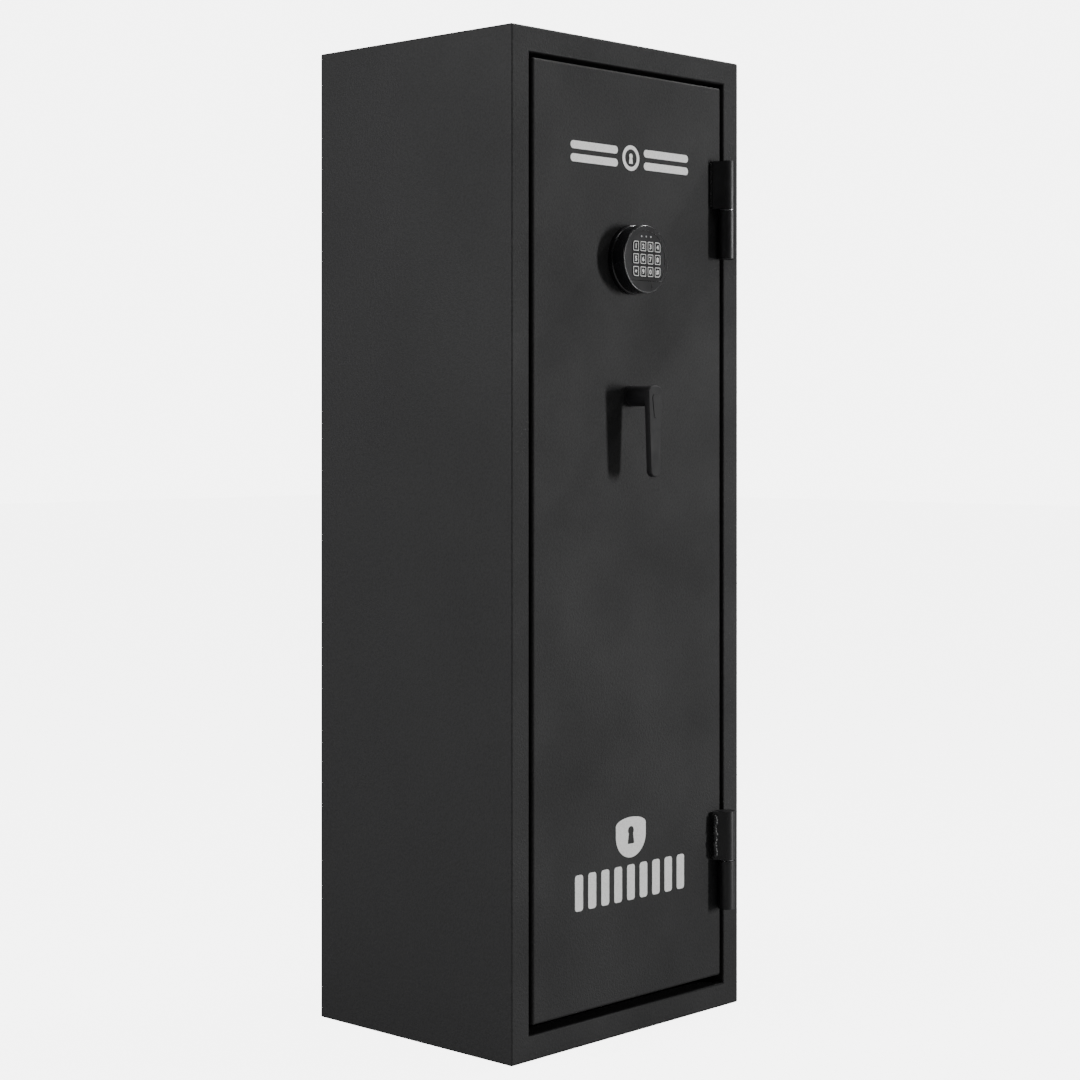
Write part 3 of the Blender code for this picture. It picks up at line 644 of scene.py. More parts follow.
# ---- Cabinet --------------------------------------------------------------------------------------
@dataclass
class Cabinet:
    """The painted wrap with its folded front, and the lining inside."""

    face_width: float = 0.0345
    lip: float = 0.032
    sheet: float = 0.0025
    fold: float = 0.0028
    hole_radius: float = 0.0068
    hole_reach: float = 0.03
    rib_half: float = 0.012
    rib_depth: float = 0.0009
    rib_stop: float = 0.16

    def build(self) -> None:
        """Builds the painted skin and dresses the inside."""
        self.skin()
        self.back()
        self.lining()
        self.fittings()

    def skin(self) -> None:
        """Folds the wrap and the front frame as one painted sheet."""
        low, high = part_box("front_frame")
        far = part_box("body_shell")[1]
        skin = Bench.cube("cabinet_skin", low, Vector((high.x, far.y, high.z)))
        Bench.choose(skin, faces=lambda f: f.normal.y > 0.9)
        bpy.ops.mesh.delete(type="FACE")
        Bench.choose(skin, faces=lambda f: f.normal.y < -0.9)
        bpy.ops.mesh.inset(thickness=self.face_width)
        bpy.ops.mesh.extrude_region_move(TRANSFORM_OT_translate={"value": (0, self.lip, 0)})
        bpy.ops.mesh.delete(type="FACE")
        front, half = low.y, high.x

        def is_fold(edge: BMEdge) -> bool:
            a, b = (v.co for v in edge.verts)
            on_front = abs(a.y - front) < 1e-5 and abs(b.y - front) < 1e-5
            flat = abs(a.x - b.x) < 1e-5 or abs(a.z - b.z) < 1e-5
            outer = abs(abs(a.x) - half) < 1e-5 and abs(a.y - b.y) > 0.1
            return (on_front and flat) or outer

        Bench.bevel(skin, self.fold, 5, edges=is_fold)
        Bench.apply(skin, "SOLIDIFY", thickness=self.sheet, offset=-1.0, use_even_offset=True)
        for k in range(1, 5):
            plug_low, plug_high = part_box(f"anchor_plug_{k}")
            centre = (plug_low + plug_high) / 2
            centre.z = 0.0
            hole = Bench.cylinder("anchor_hole", centre, self.hole_radius, self.hole_reach, Axis.Z, 48)
            Bench.combine(skin, hole, "DIFFERENCE")
        Bench.smooth(skin)
        finish_piece(skin, PAINT, Body.CABINET, "body_shell", "front_frame")

    def back(self) -> None:
        """Gives the back panel two pressed stiffening ribs and a softened rim."""
        low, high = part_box("back_panel")
        back = Bench.copy_of("back_panel", "back_sheet")
        for side in (-1, 1):
            x = side * 0.42 * high.x
            rib_low = Vector((x - self.rib_half, high.y - self.rib_depth, low.z + self.rib_stop))
            rib_high = Vector((x + self.rib_half, high.y + 0.01, high.z - self.rib_stop))
            Bench.combine(back, Bench.cube("groove", rib_low, rib_high), "DIFFERENCE")
        Bench.round_edges(back, 0.0006, 3)
        finish_piece(back, PAINT, Body.CABINET, "back_panel")

    def lining(self) -> None:
        """Wraps each fireboard in carpet, with the soft edge that a wrapped board has."""
        for node in ("liner_floor", "liner_ceiling", "liner_back", "liner_left", "liner_right", "shelf"):
            softened(node, f"{node}_carpet", CARPET, Body.CABINET, 0.0022, 4)

    def fittings(self) -> None:
        """Dresses the barrel rest, the shelf's cleats and the floor plugs."""
        softened("barrel_rest", "barrel_rest_foam", REST, Body.CABINET, 0.0016, 4)
        for side in ("left", "right"):
            cleat = f"shelf_cleat_{side}"
            softened(cleat, f"{cleat}_folded", STEEL, Body.CABINET, 0.0006)
            self.cleat_screws(side)
        for k in range(1, 5):
            softened(f"anchor_plug_{k}", f"anchor_plug_{k}_moulded", RUBBER, Body.CABINET, 0.0006)

    def cleat_screws(self, side: str) -> None:
        """Screws a shelf cleat to its wall with two domed screws."""
        low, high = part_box(f"shelf_cleat_{side}")
        sign = -1 if side == "left" else 1
        wall = low.x + 0.002 if sign < 0 else high.x - 0.002
        for k, share in enumerate((0.18, 0.82)):
            y = low.y + share * (high.y - low.y)
            centre = Vector((wall - sign * 0.0011, y, low.z + 0.008))
            screw = Fastener(0.0038, 0.0022).build(f"cleat_screw_{side}_{k + 1}", centre, Axis.X, -sign)
            finish_piece(screw, STEEL, Body.CABINET)


@dataclass
class Fastener:
    """A domed screw head with a cross recess."""

    radius: float
    height: float

    def build(self, name: str, centre: Vector, axis: Axis, facing: int) -> Object:
        """Models one head.

        Args:
            name: the piece's name.
            centre: the middle of the head.
            axis: the screw's axis.
            facing: 1 when the head looks along the axis, -1 when it looks back.

        Returns:
            The head.
        """
        ways = {Axis.X: Vector((1, 0, 0)), Axis.Y: Vector((0, 1, 0)), Axis.Z: Vector((0, 0, 1))}
        along = ways[axis] * facing
        head = Bench.cylinder(name, centre, self.radius, self.height, axis, 32)
        Bench.bevel(head, self.height * 0.7, 4, faces=lambda f: f.normal.dot(along) > 0.9)
        top = centre + along * self.height / 2
        across = [v for v in ways.values() if abs(v.dot(along)) < 0.5]
        for one, other in (across, across[::-1]):
            reach = one * self.radius * 0.55 + other * self.radius * 0.13
            reach += Vector([abs(c) for c in along]) * self.height * 0.45
            slot = Bench.cube("recess", top - reach, top + reach)
            Bench.combine(head, slot, "DIFFERENCE")
        return Bench.smooth(head)


# ---- Hinges ---------------------------------------------------------------------------------------
@dataclass
class Hinge:
    """One lift-off hinge: two welded barrels on a pin, each on its own foot."""

    level: str
    heavy_weld: bool
    radius: float = 0.0122
    bore_radius: float = 0.0063
    bore_wall: float = 0.012
    pin_y: float = -0.205
    pin_x: float = 0.199
    foot_thick: float = 0.0050
    foot_inset: float = 0.0006
    foot_corner: float = 0.0035
    edge_round: float = 0.0009
    rest_gap: float = 0.0003
    bead_end: float = 0.003
    frame_bead: tuple[float, float] = (0.0145, -0.0012)
    heavy_bead: tuple[float, float] = (-0.0200, 0.0052)
    light_bead: tuple[float, float] = (0.0004, -0.0016)

    def build(self) -> None:
        """Builds both halves and dresses the pin."""
        self.half("door", -1)
        self.half("frame", 1)
        pin = f"hinge_pin_{self.level}"
        softened(pin, f"{pin}_turned", STEEL, Body.CABINET, 0.0005)

    def half(self, owner: str, side: int) -> None:
        """Builds one half.

        Args:
            owner: door or frame.
            side: -1 when the foot runs to the left of the pin, 1 to the right.
        """
        node = f"{owner}_hinge_{self.level}"
        low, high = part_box(node)
        body = Body.DOOR if owner == "door" else Body.CABINET
        middle = Vector((self.pin_x, self.pin_y, (low.z + high.z) / 2))
        half = Bench.cylinder(f"{node}_welded", middle, self.radius, high.z - low.z, Axis.Z, 80)
        end = low.x if side < 0 else high.x
        Bench.combine(half, self.foot(side, end, low.z, high.z), "UNION")
        inner = low.z if owner == "door" else high.z
        bore_centre = Vector((middle.x, middle.y, inner))
        deep = 2 * (high.z - low.z - self.bore_wall)
        bore = Bench.cylinder("bore", bore_centre, self.bore_radius, deep, Axis.Z, 48)
        Bench.combine(half, bore, "DIFFERENCE")
        Bench.round_edges(half, self.edge_round, 4)
        finish_piece(half, HINGE_PAINT, body, node)
        back = front_y() - self.rest_gap
        if side > 0:
            face = back - self.foot_thick
            place = Vector((self.pin_x + self.frame_bead[0], face + self.frame_bead[1], 0))
            bead = Bead(place, radius=0.0040, sway=0.0003)
        elif self.heavy_weld:
            place = Vector((self.pin_x + self.heavy_bead[0], self.pin_y + self.heavy_bead[1], 0))
            bead = Bead(place, radius=0.0042, sway=0.0010)
        else:
            place = Vector((end + self.light_bead[0], back + self.light_bead[1], 0))
            bead = Bead(place, radius=0.0026, sway=0.0003)
        made = bead.build(f"{node}_bead", low.z + self.bead_end, high.z - self.bead_end)
        finish_piece(made, HINGE_PAINT, body)

    def foot(self, side: int, end: float, low: float, high: float) -> Object:
        """Shapes the foot: a flat plate on the frame, a strap up to the barrel's front on the door.

        Args:
            side: -1 for the door's foot, 1 for the frame's.
            end: the x of the foot's free end.
            low: the half's lowest z.
            high: its highest z.

        Returns:
            The foot, to be joined to its barrel.
        """
        back = front_y() - self.rest_gap
        top = back - self.foot_thick
        near = self.pin_x + (0.0015 if side < 0 else 0.0098)
        foot_low = Vector((min(end, near), top, low + self.foot_inset))
        foot_high = Vector((max(end, near), back, high - self.foot_inset))
        foot = Bench.cube("foot", foot_low, foot_high)
        Bench.bevel(foot, self.foot_corner, 6, edges=lambda e: self.is_corner(e, end))
        if side < 0:
            corner = Vector((end - self.pin_x, top - self.pin_y))
            angle = math.atan2(corner.y, corner.x) + math.acos(self.radius / corner.length)
            reach = Vector((self.radius * math.cos(angle), self.radius * math.sin(angle)))
            Bench.choose(foot, verts=lambda v: abs(v.co.x - near) < 1e-5 and abs(v.co.y - top) < 1e-5)
            shift = (self.pin_x + reach.x - near, self.pin_y + reach.y - top, 0)
            bpy.ops.transform.translate(value=shift)
            Bench.done()
        return foot

    @staticmethod
    def is_corner(edge: BMEdge, end: float) -> bool:
        """Whether an edge is one of the free end's two corners."""
        a, b = (v.co for v in edge.verts)
        return abs(a.x - end) < 1e-5 and abs(b.x - end) < 1e-5 and abs(a.y - b.y) > 1e-4


@dataclass
class Bead:
    """A rippled weld bead, laid upwards drop by drop."""

    place: Vector
    radius: float
    sway: float
    pitch: float = 0.0042
    voxel: float = 0.0006

    def build(self, name: str, low: float, high: float) -> Object:
        """Lays the bead.

        Args:
            name: the piece's name.
            low: where it starts.
            high: where it ends.

        Returns:
            The bead, melted into one skin.
        """
        count = int((high - low - 2 * self.radius) / self.pitch) + 1
        start = (low + high) / 2 - self.pitch * (count - 1) / 2
        drops = []
        for k in range(count):
            wave = math.sin(1.15 * k + 0.4) + 0.6 * math.sin(2.9 * k)
            size = self.radius * (1 + 0.10 * math.sin(1.7 * k + 1.0)) + 0.3 * self.sway * wave
            Bench.clear()
            bpy.ops.mesh.primitive_uv_sphere_add(
                segments=20, ring_count=12, radius=1.0,
                scale=(size, size * 0.85, max(size, self.pitch * 0.8)),
                location=(self.place.x + self.sway * wave, self.place.y, start + k * self.pitch),
            )
            drops.append(Bench.named("drop"))
        bead = Bench.joined(name, drops)
        Bench.apply(bead, "REMESH", mode="VOXEL", voxel_size=self.voxel)
        Bench.apply(bead, "SMOOTH", factor=0.5, iterations=3)
        Bench.outward(bead)
        Bench.pick(bead)
        bpy.ops.object.shade_smooth()
        return bead


# ---- Door -----------------------------------------------------------------------------------------
@dataclass
class Door:
    """The painted skin, the steel box behind it and the carpeted inner panel."""

    fold: float = 0.0040
    sheet: float = 0.0028
    screw_inset: float = 0.022
    washer_radius: float = 0.0090

    def build(self) -> None:
        """Builds the skin and dresses what is behind it."""
        self.skin()
        self.box()
        self.inner_panel()
        self.marks()

    def skin(self) -> None:
        """Folds the outer skin from one sheet, with round edges and corners."""
        low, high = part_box("door_skin")
        skin = Bench.cube("door_front", low, high)
        Bench.choose(skin, faces=lambda f: f.normal.y > 0.9)
        bpy.ops.mesh.delete(type="FACE")

        def is_fold(edge: BMEdge) -> bool:
            a, b = (v.co for v in edge.verts)
            return min(a.y, b.y) < low.y + 1e-5

        Bench.bevel(skin, self.fold, 6, edges=is_fold)
        Bench.apply(skin, "SOLIDIFY", thickness=self.sheet, offset=-1.0, use_even_offset=True)
        Bench.smooth(skin)
        finish_piece(skin, PAINT, Body.DOOR, "door_skin")

    def box(self) -> None:
        """Dresses the bolt box, its cover, the seal and the fixed bar."""
        for node, name, finish, width in (
            ("door_box", "bolt_box", STEEL, 0.0005),
            ("boltwork_cover", "bolt_box_cover", STEEL, 0.0005),
            ("fire_seal", "door_seal_strip", SEAL, 0.0018),
            ("dead_bar", "hinge_side_bar", BRIGHT, 0.0006),
        ):
            softened(node, name, finish, Body.DOOR, width)

    def inner_panel(self) -> None:
        """Wraps the inner panel in carpet and screws it on."""
        softened("door_liner", "door_inner_panel", CARPET, Body.DOOR, 0.0030, 5)
        low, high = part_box("door_liner")
        rows = ((0.02, 0.012), (0.26, 0.0), (0.5, 0.0), (0.74, 0.0), (0.98, -0.012))
        for row, (share, nudge) in enumerate(rows):
            for side, x in (("left", low.x + self.screw_inset), ("right", high.x - self.screw_inset)):
                z = low.z + share * (high.z - low.z) + nudge
                place = Vector((x, high.y + 0.0012, z))
                label = f"{side}_{row + 1}"
                screw = Fastener(0.0055, 0.0026).build(f"panel_screw_{label}", place, Axis.Y, 1)
                finish_piece(screw, ZINC, Body.DOOR)
                seat, radius = place - Vector((0, 0.0010, 0)), self.washer_radius
                ring = Bench.cylinder(f"panel_washer_{label}", seat, radius, 0.0012, Axis.Y, 48)
                Bench.round_edges(ring, 0.0005, 3)
                finish_piece(ring, ZINC, Body.DOOR)

    def marks(self) -> None:
        """Prints two plain marks: a keyhole roundel between bars, and a shield over a row of pickets."""
        Mark(front_y()).build()


@dataclass
class Mark:
    """Flat white print on the door, made of plain shapes and no letters."""

    front: float
    thick: float = 0.00012
    lift: float = 0.00001
    top_z: float = 1.236
    shield_z: float = 0.280
    low_z: float = 0.213
    bar_start: float = 0.028
    bar_length: float = 0.098
    row_half: float = 0.0090
    roundel_radii: tuple[float, float] = (0.0180, 0.0125)
    shield_half: float = 0.032
    picket_pitch: float = 0.0272

    def build(self) -> None:
        """Prints both marks."""
        roundel = self.ring("roundel", 0.0, self.top_z, *self.roundel_radii)
        pieces = [roundel, self.keyhole(0.0, self.top_z, 0.0036)]
        for side in (-1, 1):
            middle = side * (self.bar_start + self.bar_length / 2)
            for row in (1, -1):
                level = self.top_z + row * self.row_half
                pieces.append(self.bar(middle, level, self.bar_length, 0.0110, 0.0054))
        self.printed("upper_door_mark", pieces)
        pieces = [self.shield(0.0, self.shield_z)]
        for k in range(-4, 5):
            pieces.append(self.bar(k * self.picket_pitch, self.low_z, 0.0164, 0.050, 0.0045))
        self.printed("lower_door_mark", pieces)

    def printed(self, name: str, pieces: list[Object]) -> None:
        """Joins flat shapes, gives them ink's thickness and finishes them."""
        mark = Bench.joined(name, pieces)
        Bench.outward(mark)
        finish_piece(mark, DOOR_INK, Body.DOOR)

    def bar(self, x: float, z: float, length: float, height: float, radius: float) -> Object:
        """Prints a bar with rounded ends.

        Args:
            x: its middle across the door.
            z: its middle height.
            length: its length.
            height: its height.
            radius: its corners' radius.

        Returns:
            The bar.
        """
        low = Vector((x - length / 2, self.front - self.thick, z - height / 2))
        high = Vector((x + length / 2, self.front - self.lift, z + height / 2))
        made = Bench.cube("bar", low, high)

        def is_corner(edge: BMEdge) -> bool:
            return abs(edge.verts[0].co.y - edge.verts[1].co.y) > self.thick / 2

        Bench.bevel(made, radius * 0.98, 10, edges=is_corner)
        return made

    def depth(self) -> float:
        """Returns the y of the middle of the print's thickness."""
        return self.front - self.thick / 2 - self.lift / 2

    def disc(self, x: float, z: float, radius: float, proud: float = 0.0) -> Object:
        """Prints a disc."""
        centre = Vector((x, self.depth(), z))
        return Bench.cylinder("disc", centre, radius, self.thick + proud, Axis.Y, 72)

    def ring(self, name: str, x: float, z: float, outer: float, inner: float) -> Object:
        """Prints a ring between two radii."""
        made = self.disc(x, z, outer)
        made.name = name
        return Bench.combine(made, self.disc(x, z, inner, 0.001), "DIFFERENCE")

    def keyhole(self, x: float, z: float, radius: float) -> Object:
        """Prints a keyhole: a disc over a flared foot."""
        head = self.disc(x, z + radius * 0.8, radius)
        foot = self.bar(x, z - radius * 0.9, radius * 1.5, radius * 2.6, radius * 0.2)
        Bench.choose(foot, verts=lambda v: v.co.z < z - radius * 0.9)
        bpy.ops.transform.resize(value=(1.5, 1, 1), center_override=(x, self.front, z))
        Bench.done()
        return Bench.combine(head, foot, "UNION")

    def shield(self, x: float, z: float) -> Object:
        """Prints a shield with a keyhole cut out of it."""
        centre = Vector((x, self.depth(), z))
        made = Bench.cylinder("shield", centre, self.shield_half, self.thick, Axis.Y, 96)
        Bench.choose(made, verts=lambda v: v.co.z > z)
        bpy.ops.transform.resize(value=(1.0, 1.0, 0.35), center_override=centre)
        bpy.ops.transform.translate(value=(0, 0, 0.014))
        Bench.done()
        hole = self.keyhole(x, z + 0.001, 0.0062)
        Bench.pick(hole)
        bpy.ops.transform.resize(value=(1, 8, 1), center_override=centre)
        bpy.ops.object.transform_apply(location=True, rotation=True, scale=True)
        return Bench.combine(made, hole, "DIFFERENCE")


# ---- Lever ----------------------------------------------------------------------------------------
@dataclass
class Lever:
    """The drop lever: a tapered blade on a round stem, with a collar at the door."""

    thick: float = 0.0080
    end_radius: float = 0.0105
    top_half: float = 0.0155
    shoulder: float = 0.0085
    stem_radius: float = 0.0142
    rim_round: float = 0.0022
    bore_radius: float = 0.0063
    bore_length: float = 0.055
    pad_rise: float = 0.0008
    pad_low: float = -0.031
    pad_high: float = 0.004
    pad_head: float = 0.0070
    pad_foot: float = 0.0035

    def build(self) -> None:
        """Builds the lever and dresses the collar, spindle and cam."""
        self.blade()
        for node, finish, body in (
            ("handle_collar", ZINC, Body.DOOR),
            ("handle_spindle", STEEL, Body.HANDLE),
            ("bolt_cam", STEEL, Body.HANDLE),
        ):
            softened(node, f"{node}_turned", finish, body, 0.0004)

    def blade(self) -> None:
        """Shapes the blade from a short round bar drawn out to full length, then adds the stem."""
        low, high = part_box("handle_lever")
        low.y += self.pad_rise
        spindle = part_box("handle_spindle")
        axis_z = (spindle[0].z + spindle[1].z) / 2
        foot_z = low.z + self.end_radius
        y = low.y + self.thick / 2
        centre = Vector((0, y, foot_z))
        lever = Bench.cylinder("drop_lever", centre, self.end_radius, self.thick, Axis.Y, 96)
        Bench.choose(lever, verts=lambda v: v.co.z > foot_z + 1e-5)
        drawn = (self.top_half / self.end_radius, 1, self.shoulder / self.end_radius)
        bpy.ops.transform.resize(value=drawn, center_override=centre)
        bpy.ops.transform.translate(value=(0, 0, high.z - self.shoulder - foot_z))
        Bench.done()
        near = high.y
        length = near - low.y - 0.004
        stem_mid = Vector((0, near - length / 2, axis_z))
        stem = Bench.cylinder("stem", stem_mid, self.stem_radius, length, Axis.Y, 96)
        Bench.combine(lever, stem, "UNION")
        mouth = Vector((0, near, axis_z))
        bore = Bench.cylinder("bore", mouth, self.bore_radius, self.bore_length, Axis.Y, 48)
        Bench.combine(lever, bore, "DIFFERENCE")
        Bench.bevel(lever, self.rim_round, 6, edges=lambda e: self.on_rim(e, low.y))
        Bench.combine(lever, self.pad(low.y, axis_z), "UNION")
        Bench.round_edges(lever, 0.0004, 3, angle=50.0)
        finish_piece(lever, ZINC, Body.HANDLE, "handle_lever")

    def on_rim(self, edge: BMEdge, front: float) -> bool:
        """Whether an edge belongs to the blade's front outline."""
        a, b = (v.co for v in edge.verts)
        if abs(a.y - front) > 1e-5 or abs(b.y - front) > 1e-5:
            return False
        return any(self.faces_out(f) for f in edge.link_faces)

    def faces_out(self, face: BMFace) -> bool:
        """Whether a face is a side of the blade, nearly as deep as the blade is thick."""
        ys = [v.co.y for v in face.verts]
        deep = max(ys) - min(ys) > self.thick * 0.5
        return abs(face.normal.y) < 0.5 and face.calc_area() > 1e-8 and deep

    def pad(self, front: float, axis_z: float) -> Object:
        """Makes the raised pad on the blade: a round head narrowing to a round foot."""
        foot_z = axis_z + self.pad_low + self.pad_foot
        centre = Vector((0, front - self.pad_rise + 0.001, foot_z))
        pad = Bench.cylinder("pad", centre, self.pad_foot, 0.002, Axis.Y, 64)
        Bench.choose(pad, verts=lambda v: v.co.z > foot_z + 1e-5)
        wider = self.pad_head / self.pad_foot
        bpy.ops.transform.resize(value=(wider, 1, wider), center_override=centre)
        bpy.ops.transform.translate(value=(0, 0, axis_z + self.pad_high - self.pad_head - foot_z))
        Bench.done()
        return pad


# ---- Keypad ---------------------------------------------------------------------------------------
@dataclass
class Keypad:
    """The round electronic keypad: base, drum, battery cover, plate, keys and lamps."""

    base_radius: float = 0.0490
    base_round: float = 0.0026
    drum_radius: float = 0.0478
    plate_radius: float = 0.0407
    base_bore: float = 0.0395
    spigot_radius: float = 0.0390
    spigot_length: float = 0.0100
    cavity_radius: float = 0.0380
    rim_round: float = 0.0016
    chord: float = -0.0304
    gap: float = 0.0003
    notch_x: tuple[float, float] = (0.0114, 0.0126)
    notch_down: tuple[float, float] = (0.0411, 0.0341)
    legend_height: float = 0.0094
    outline_width: float = 0.00080
    clear: float = 0.06

    def build(self) -> None:
        """Builds the shell, then the plate and its keys."""
        self.base()
        self.drum()
        self.plate()
        for name in ("1", "2", "3", "4", "5", "6", "7", "8", "star", "9", "0", "hash"):
            self.key(name)
        for node, finish in (
            ("led_left", LENS), ("led_middle", LENS), ("led_right", LENS),
            ("keypad_circuit_board", BOARD), ("battery", CELL), ("keypad_lead", RUBBER),
        ):
            dress(node, finish)

    def centre(self) -> Vector:
        """Returns the middle of the base ring."""
        low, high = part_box("keypad_base")
        return (low + high) / 2

    def base(self) -> None:
        """Builds the base ring that the drum sits in."""
        low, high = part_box("keypad_base")
        thick = high.y - low.y
        ring = Bench.cylinder("keypad_base_ring", self.centre(), self.base_radius, thick, Axis.Y, 128)
        Bench.bevel(ring, self.base_round, 8, faces=lambda f: f.normal.y < -0.9)
        core = Bench.cylinder("core", self.centre(), self.base_bore, 0.03, Axis.Y, 96)
        Bench.combine(ring, core, "DIFFERENCE")
        Bench.smooth(ring)
        finish_piece(ring, GLOSS, Body.DOOR, "keypad_base")

    def drum_shape(self, name: str) -> Object:
        """Models the whole drum before it is parted into housing and cover."""
        low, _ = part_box("keypad_housing")
        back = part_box("keypad_base")[0].y - self.gap
        middle = Vector((0, (low.y + back) / 2, self.centre().z))
        drum = Bench.cylinder(name, middle, self.drum_radius, back - low.y, Axis.Y, 128)
        Bench.bevel(drum, self.rim_round, 6, faces=lambda f: f.normal.y < -0.9)
        return drum

    def drum(self) -> None:
        """Parts the drum along the chord, with the hollow behind the plate kept in the housing."""
        low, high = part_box("keypad_housing")
        cover_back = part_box("battery_cover")[1].y
        middle = self.centre()
        line = middle.z + self.chord
        front, wide = low.y - 0.01, self.clear
        housing = self.drum_shape("keypad_drum")
        seat_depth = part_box("keypad_face")[1].y + self.gap
        seat_mid = Vector((0, (low.y + seat_depth) / 2, middle.z))
        seat = Bench.cylinder("seat", seat_mid, self.plate_radius, seat_depth - low.y, Axis.Y, 128)
        Bench.choose(seat, verts=lambda v: v.co.y < low.y + 1e-5)
        bpy.ops.transform.translate(value=(0, -0.002, 0))
        Bench.done()
        Bench.combine(housing, seat, "DIFFERENCE")
        hollow_mid = Vector((0, (low.y + high.y) / 2 - 0.0012, middle.z))
        deep = high.y - low.y - 0.0018
        hollow = Bench.cylinder("hollow", hollow_mid, self.cavity_radius, deep, Axis.Y, 96)
        plug_mid = Vector((0, high.y - self.spigot_length / 2, middle.z))
        plug = Bench.cylinder("plug", plug_mid, self.spigot_radius, self.spigot_length, Axis.Y, 96)
        Bench.combine(housing, plug, "UNION")
        Bench.combine(housing, hollow, "DIFFERENCE")
        parting_high = Vector((wide, cover_back + self.gap, line))
        parting = Bench.cube("parting", Vector((-wide, front, middle.z - wide)), parting_high)
        Bench.combine(housing, parting, "DIFFERENCE")
        Bench.round_edges(housing, 0.0003, 2, angle=60.0)
        finish_piece(housing, GLOSS, Body.DOOR, "keypad_housing")
        self.satin_front(housing)

        cover = self.drum_shape("battery_cover_shell")
        notch = Bench.cube(
            "notch",
            Vector((self.notch_x[0], low.y - 0.005, middle.z - self.notch_down[0])),
            Vector((self.notch_x[1], low.y + 0.0010, middle.z - self.notch_down[1])),
        )
        above_low = Vector((-wide, front, line - self.gap))
        above = Bench.cube("above", above_low, Vector((wide, 0, middle.z + wide)))
        behind_low = Vector((-wide, cover_back, middle.z - wide))
        behind = Bench.cube("behind", behind_low, Vector((wide, 0, middle.z + 0.05)))
        for tool in (above, behind, notch):
            Bench.combine(cover, tool, "DIFFERENCE")
        Bench.round_edges(cover, 0.0003, 2, angle=60.0)
        finish_piece(cover, GLOSS, Body.COVER, "battery_cover")
        self.satin_front(cover)

    @staticmethod
    def satin_front(shell: Object) -> None:
        """Gives a gloss shell's flat front the plate's satin finish."""
        shell.data.materials.append(FACE.material())
        for face in shell.data.polygons:
            if face.normal.y < -0.995:
                face.material_index = 1

    def plate(self) -> None:
        """Dresses the plate that the keys come through."""
        softened("keypad_face", "keypad_plate", FACE, Body.DOOR, 0.00025, 2)

    def key(self, name: str) -> None:
        """Builds one key with its printed outline and legend.

        Args:
            name: the key's name.
        """
        node = f"key_{name}"
        softened(node, f"{node}_cap", KEY, node, 0.00025, 2, angle=35.0)
        self.outline(node)
        self.legend(node, {"star": "*", "hash": "#"}.get(name, name))

    def outline(self, node: str) -> None:
        """Prints the outline that runs just inside a key's edge."""
        ring = Bench.copy_of(node, f"{node}_outline")
        Bench.choose(ring, faces=lambda f: f.normal.y < -0.99)
        bpy.ops.mesh.select_all(action="INVERT")
        bpy.ops.mesh.delete(type="FACE")
        bpy.ops.mesh.select_all(action="SELECT")
        bpy.ops.mesh.dissolve_faces()
        bpy.ops.mesh.select_all(action="SELECT")
        bpy.ops.mesh.inset(thickness=self.outline_width, use_boundary=True)
        shape = bmesh.from_edit_mesh(ring.data)
        inner = [f for f in shape.faces if f.select]
        rim = {link for f in inner for e in f.edges for link in e.link_faces} - set(inner)
        for face in shape.faces:
            face.select_set(face not in rim)
        bmesh.update_edit_mesh(ring.data)
        bpy.ops.mesh.delete(type="FACE")
        bpy.ops.mesh.select_all(action="SELECT")
        centre = sum(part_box(node), Vector()) / 2
        bpy.ops.transform.resize(value=(0.985, 1, 0.985), center_override=centre)
        bpy.ops.transform.translate(value=(0, -0.00001, 0))
        bpy.ops.mesh.extrude_region_move(TRANSFORM_OT_translate={"value": (0, -0.00007, 0)})
        Bench.done()
        Bench.outward(ring)
        finish_piece(ring, INK, node)

    def legend(self, node: str, text: str) -> None:
        """Prints a digit or a plain sign in the middle of a key.

        Args:
            node: the key's node and body.
            text: what is printed.
        """
        low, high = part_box(node)
        Bench.clear()
        place = Vector(((low.x + high.x) / 2, low.y - 0.00001, (low.z + high.z) / 2))
        bpy.ops.object.text_add(location=place, rotation=(math.pi / 2, 0, 0))
        letter = bpy.context.active_object
        letter.data.body = text
        letter.data.size = self.legend_height
        letter.data.align_x = "CENTER"
        letter.data.extrude = 0.00004
        letter.data.offset = 0.00018
        letter.data.resolution_u = 4
        bpy.ops.object.convert(target="MESH")
        letter = Bench.named(f"{node}_legend")
        up = [v.co.z for v in letter.data.vertices]
        across = [v.co.x for v in letter.data.vertices]
        middle = Vector(((min(across) + max(across)) / 2, 0.00004, (min(up) + max(up)) / 2))
        shift = Vector((place.x, 0, place.z)) - middle
        for vertex in letter.data.vertices:
            vertex.co += shift
        finish_piece(letter, INK, node)


def dress(node: str, finish: Finish) -> None:
    """Gives a frame node that keeps its own shape a finished material."""
    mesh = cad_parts[node].data
    mesh.materials.clear()
    mesh.materials.append(finish.material())


@dataclass
class BoltWork:
    """What moves inside the door: the carriage, its bolts and the lock."""

    def build(self) -> None:
        """Dresses each piece with softened edges."""
        for node, finish, body, width in (
            ("bolt_carriage", STEEL, Body.BOLTWORK, 0.0005),
            ("bolt_upper", BRIGHT, Body.BOLTWORK, 0.0004),
            ("bolt_middle", BRIGHT, Body.BOLTWORK, 0.0004),
            ("bolt_lower", BRIGHT, Body.BOLTWORK, 0.0004),
            ("lock_body", ZINC, Body.DOOR, 0.0010),
            ("lock_bolt", BRIGHT, Body.LOCK_BOLT, 0.0004),
        ):
            softened(node, f"{node}_machined", finish, body, width)


# ---- Studio ---------------------------------------------------------------------------------------
@dataclass(frozen=True)
class SoftBox:
    """A soft light: its name, place, target, width, height and power in watts."""

    name: str
    at: Triple
    towards: Triple
    width: float
    height: float
    power: float


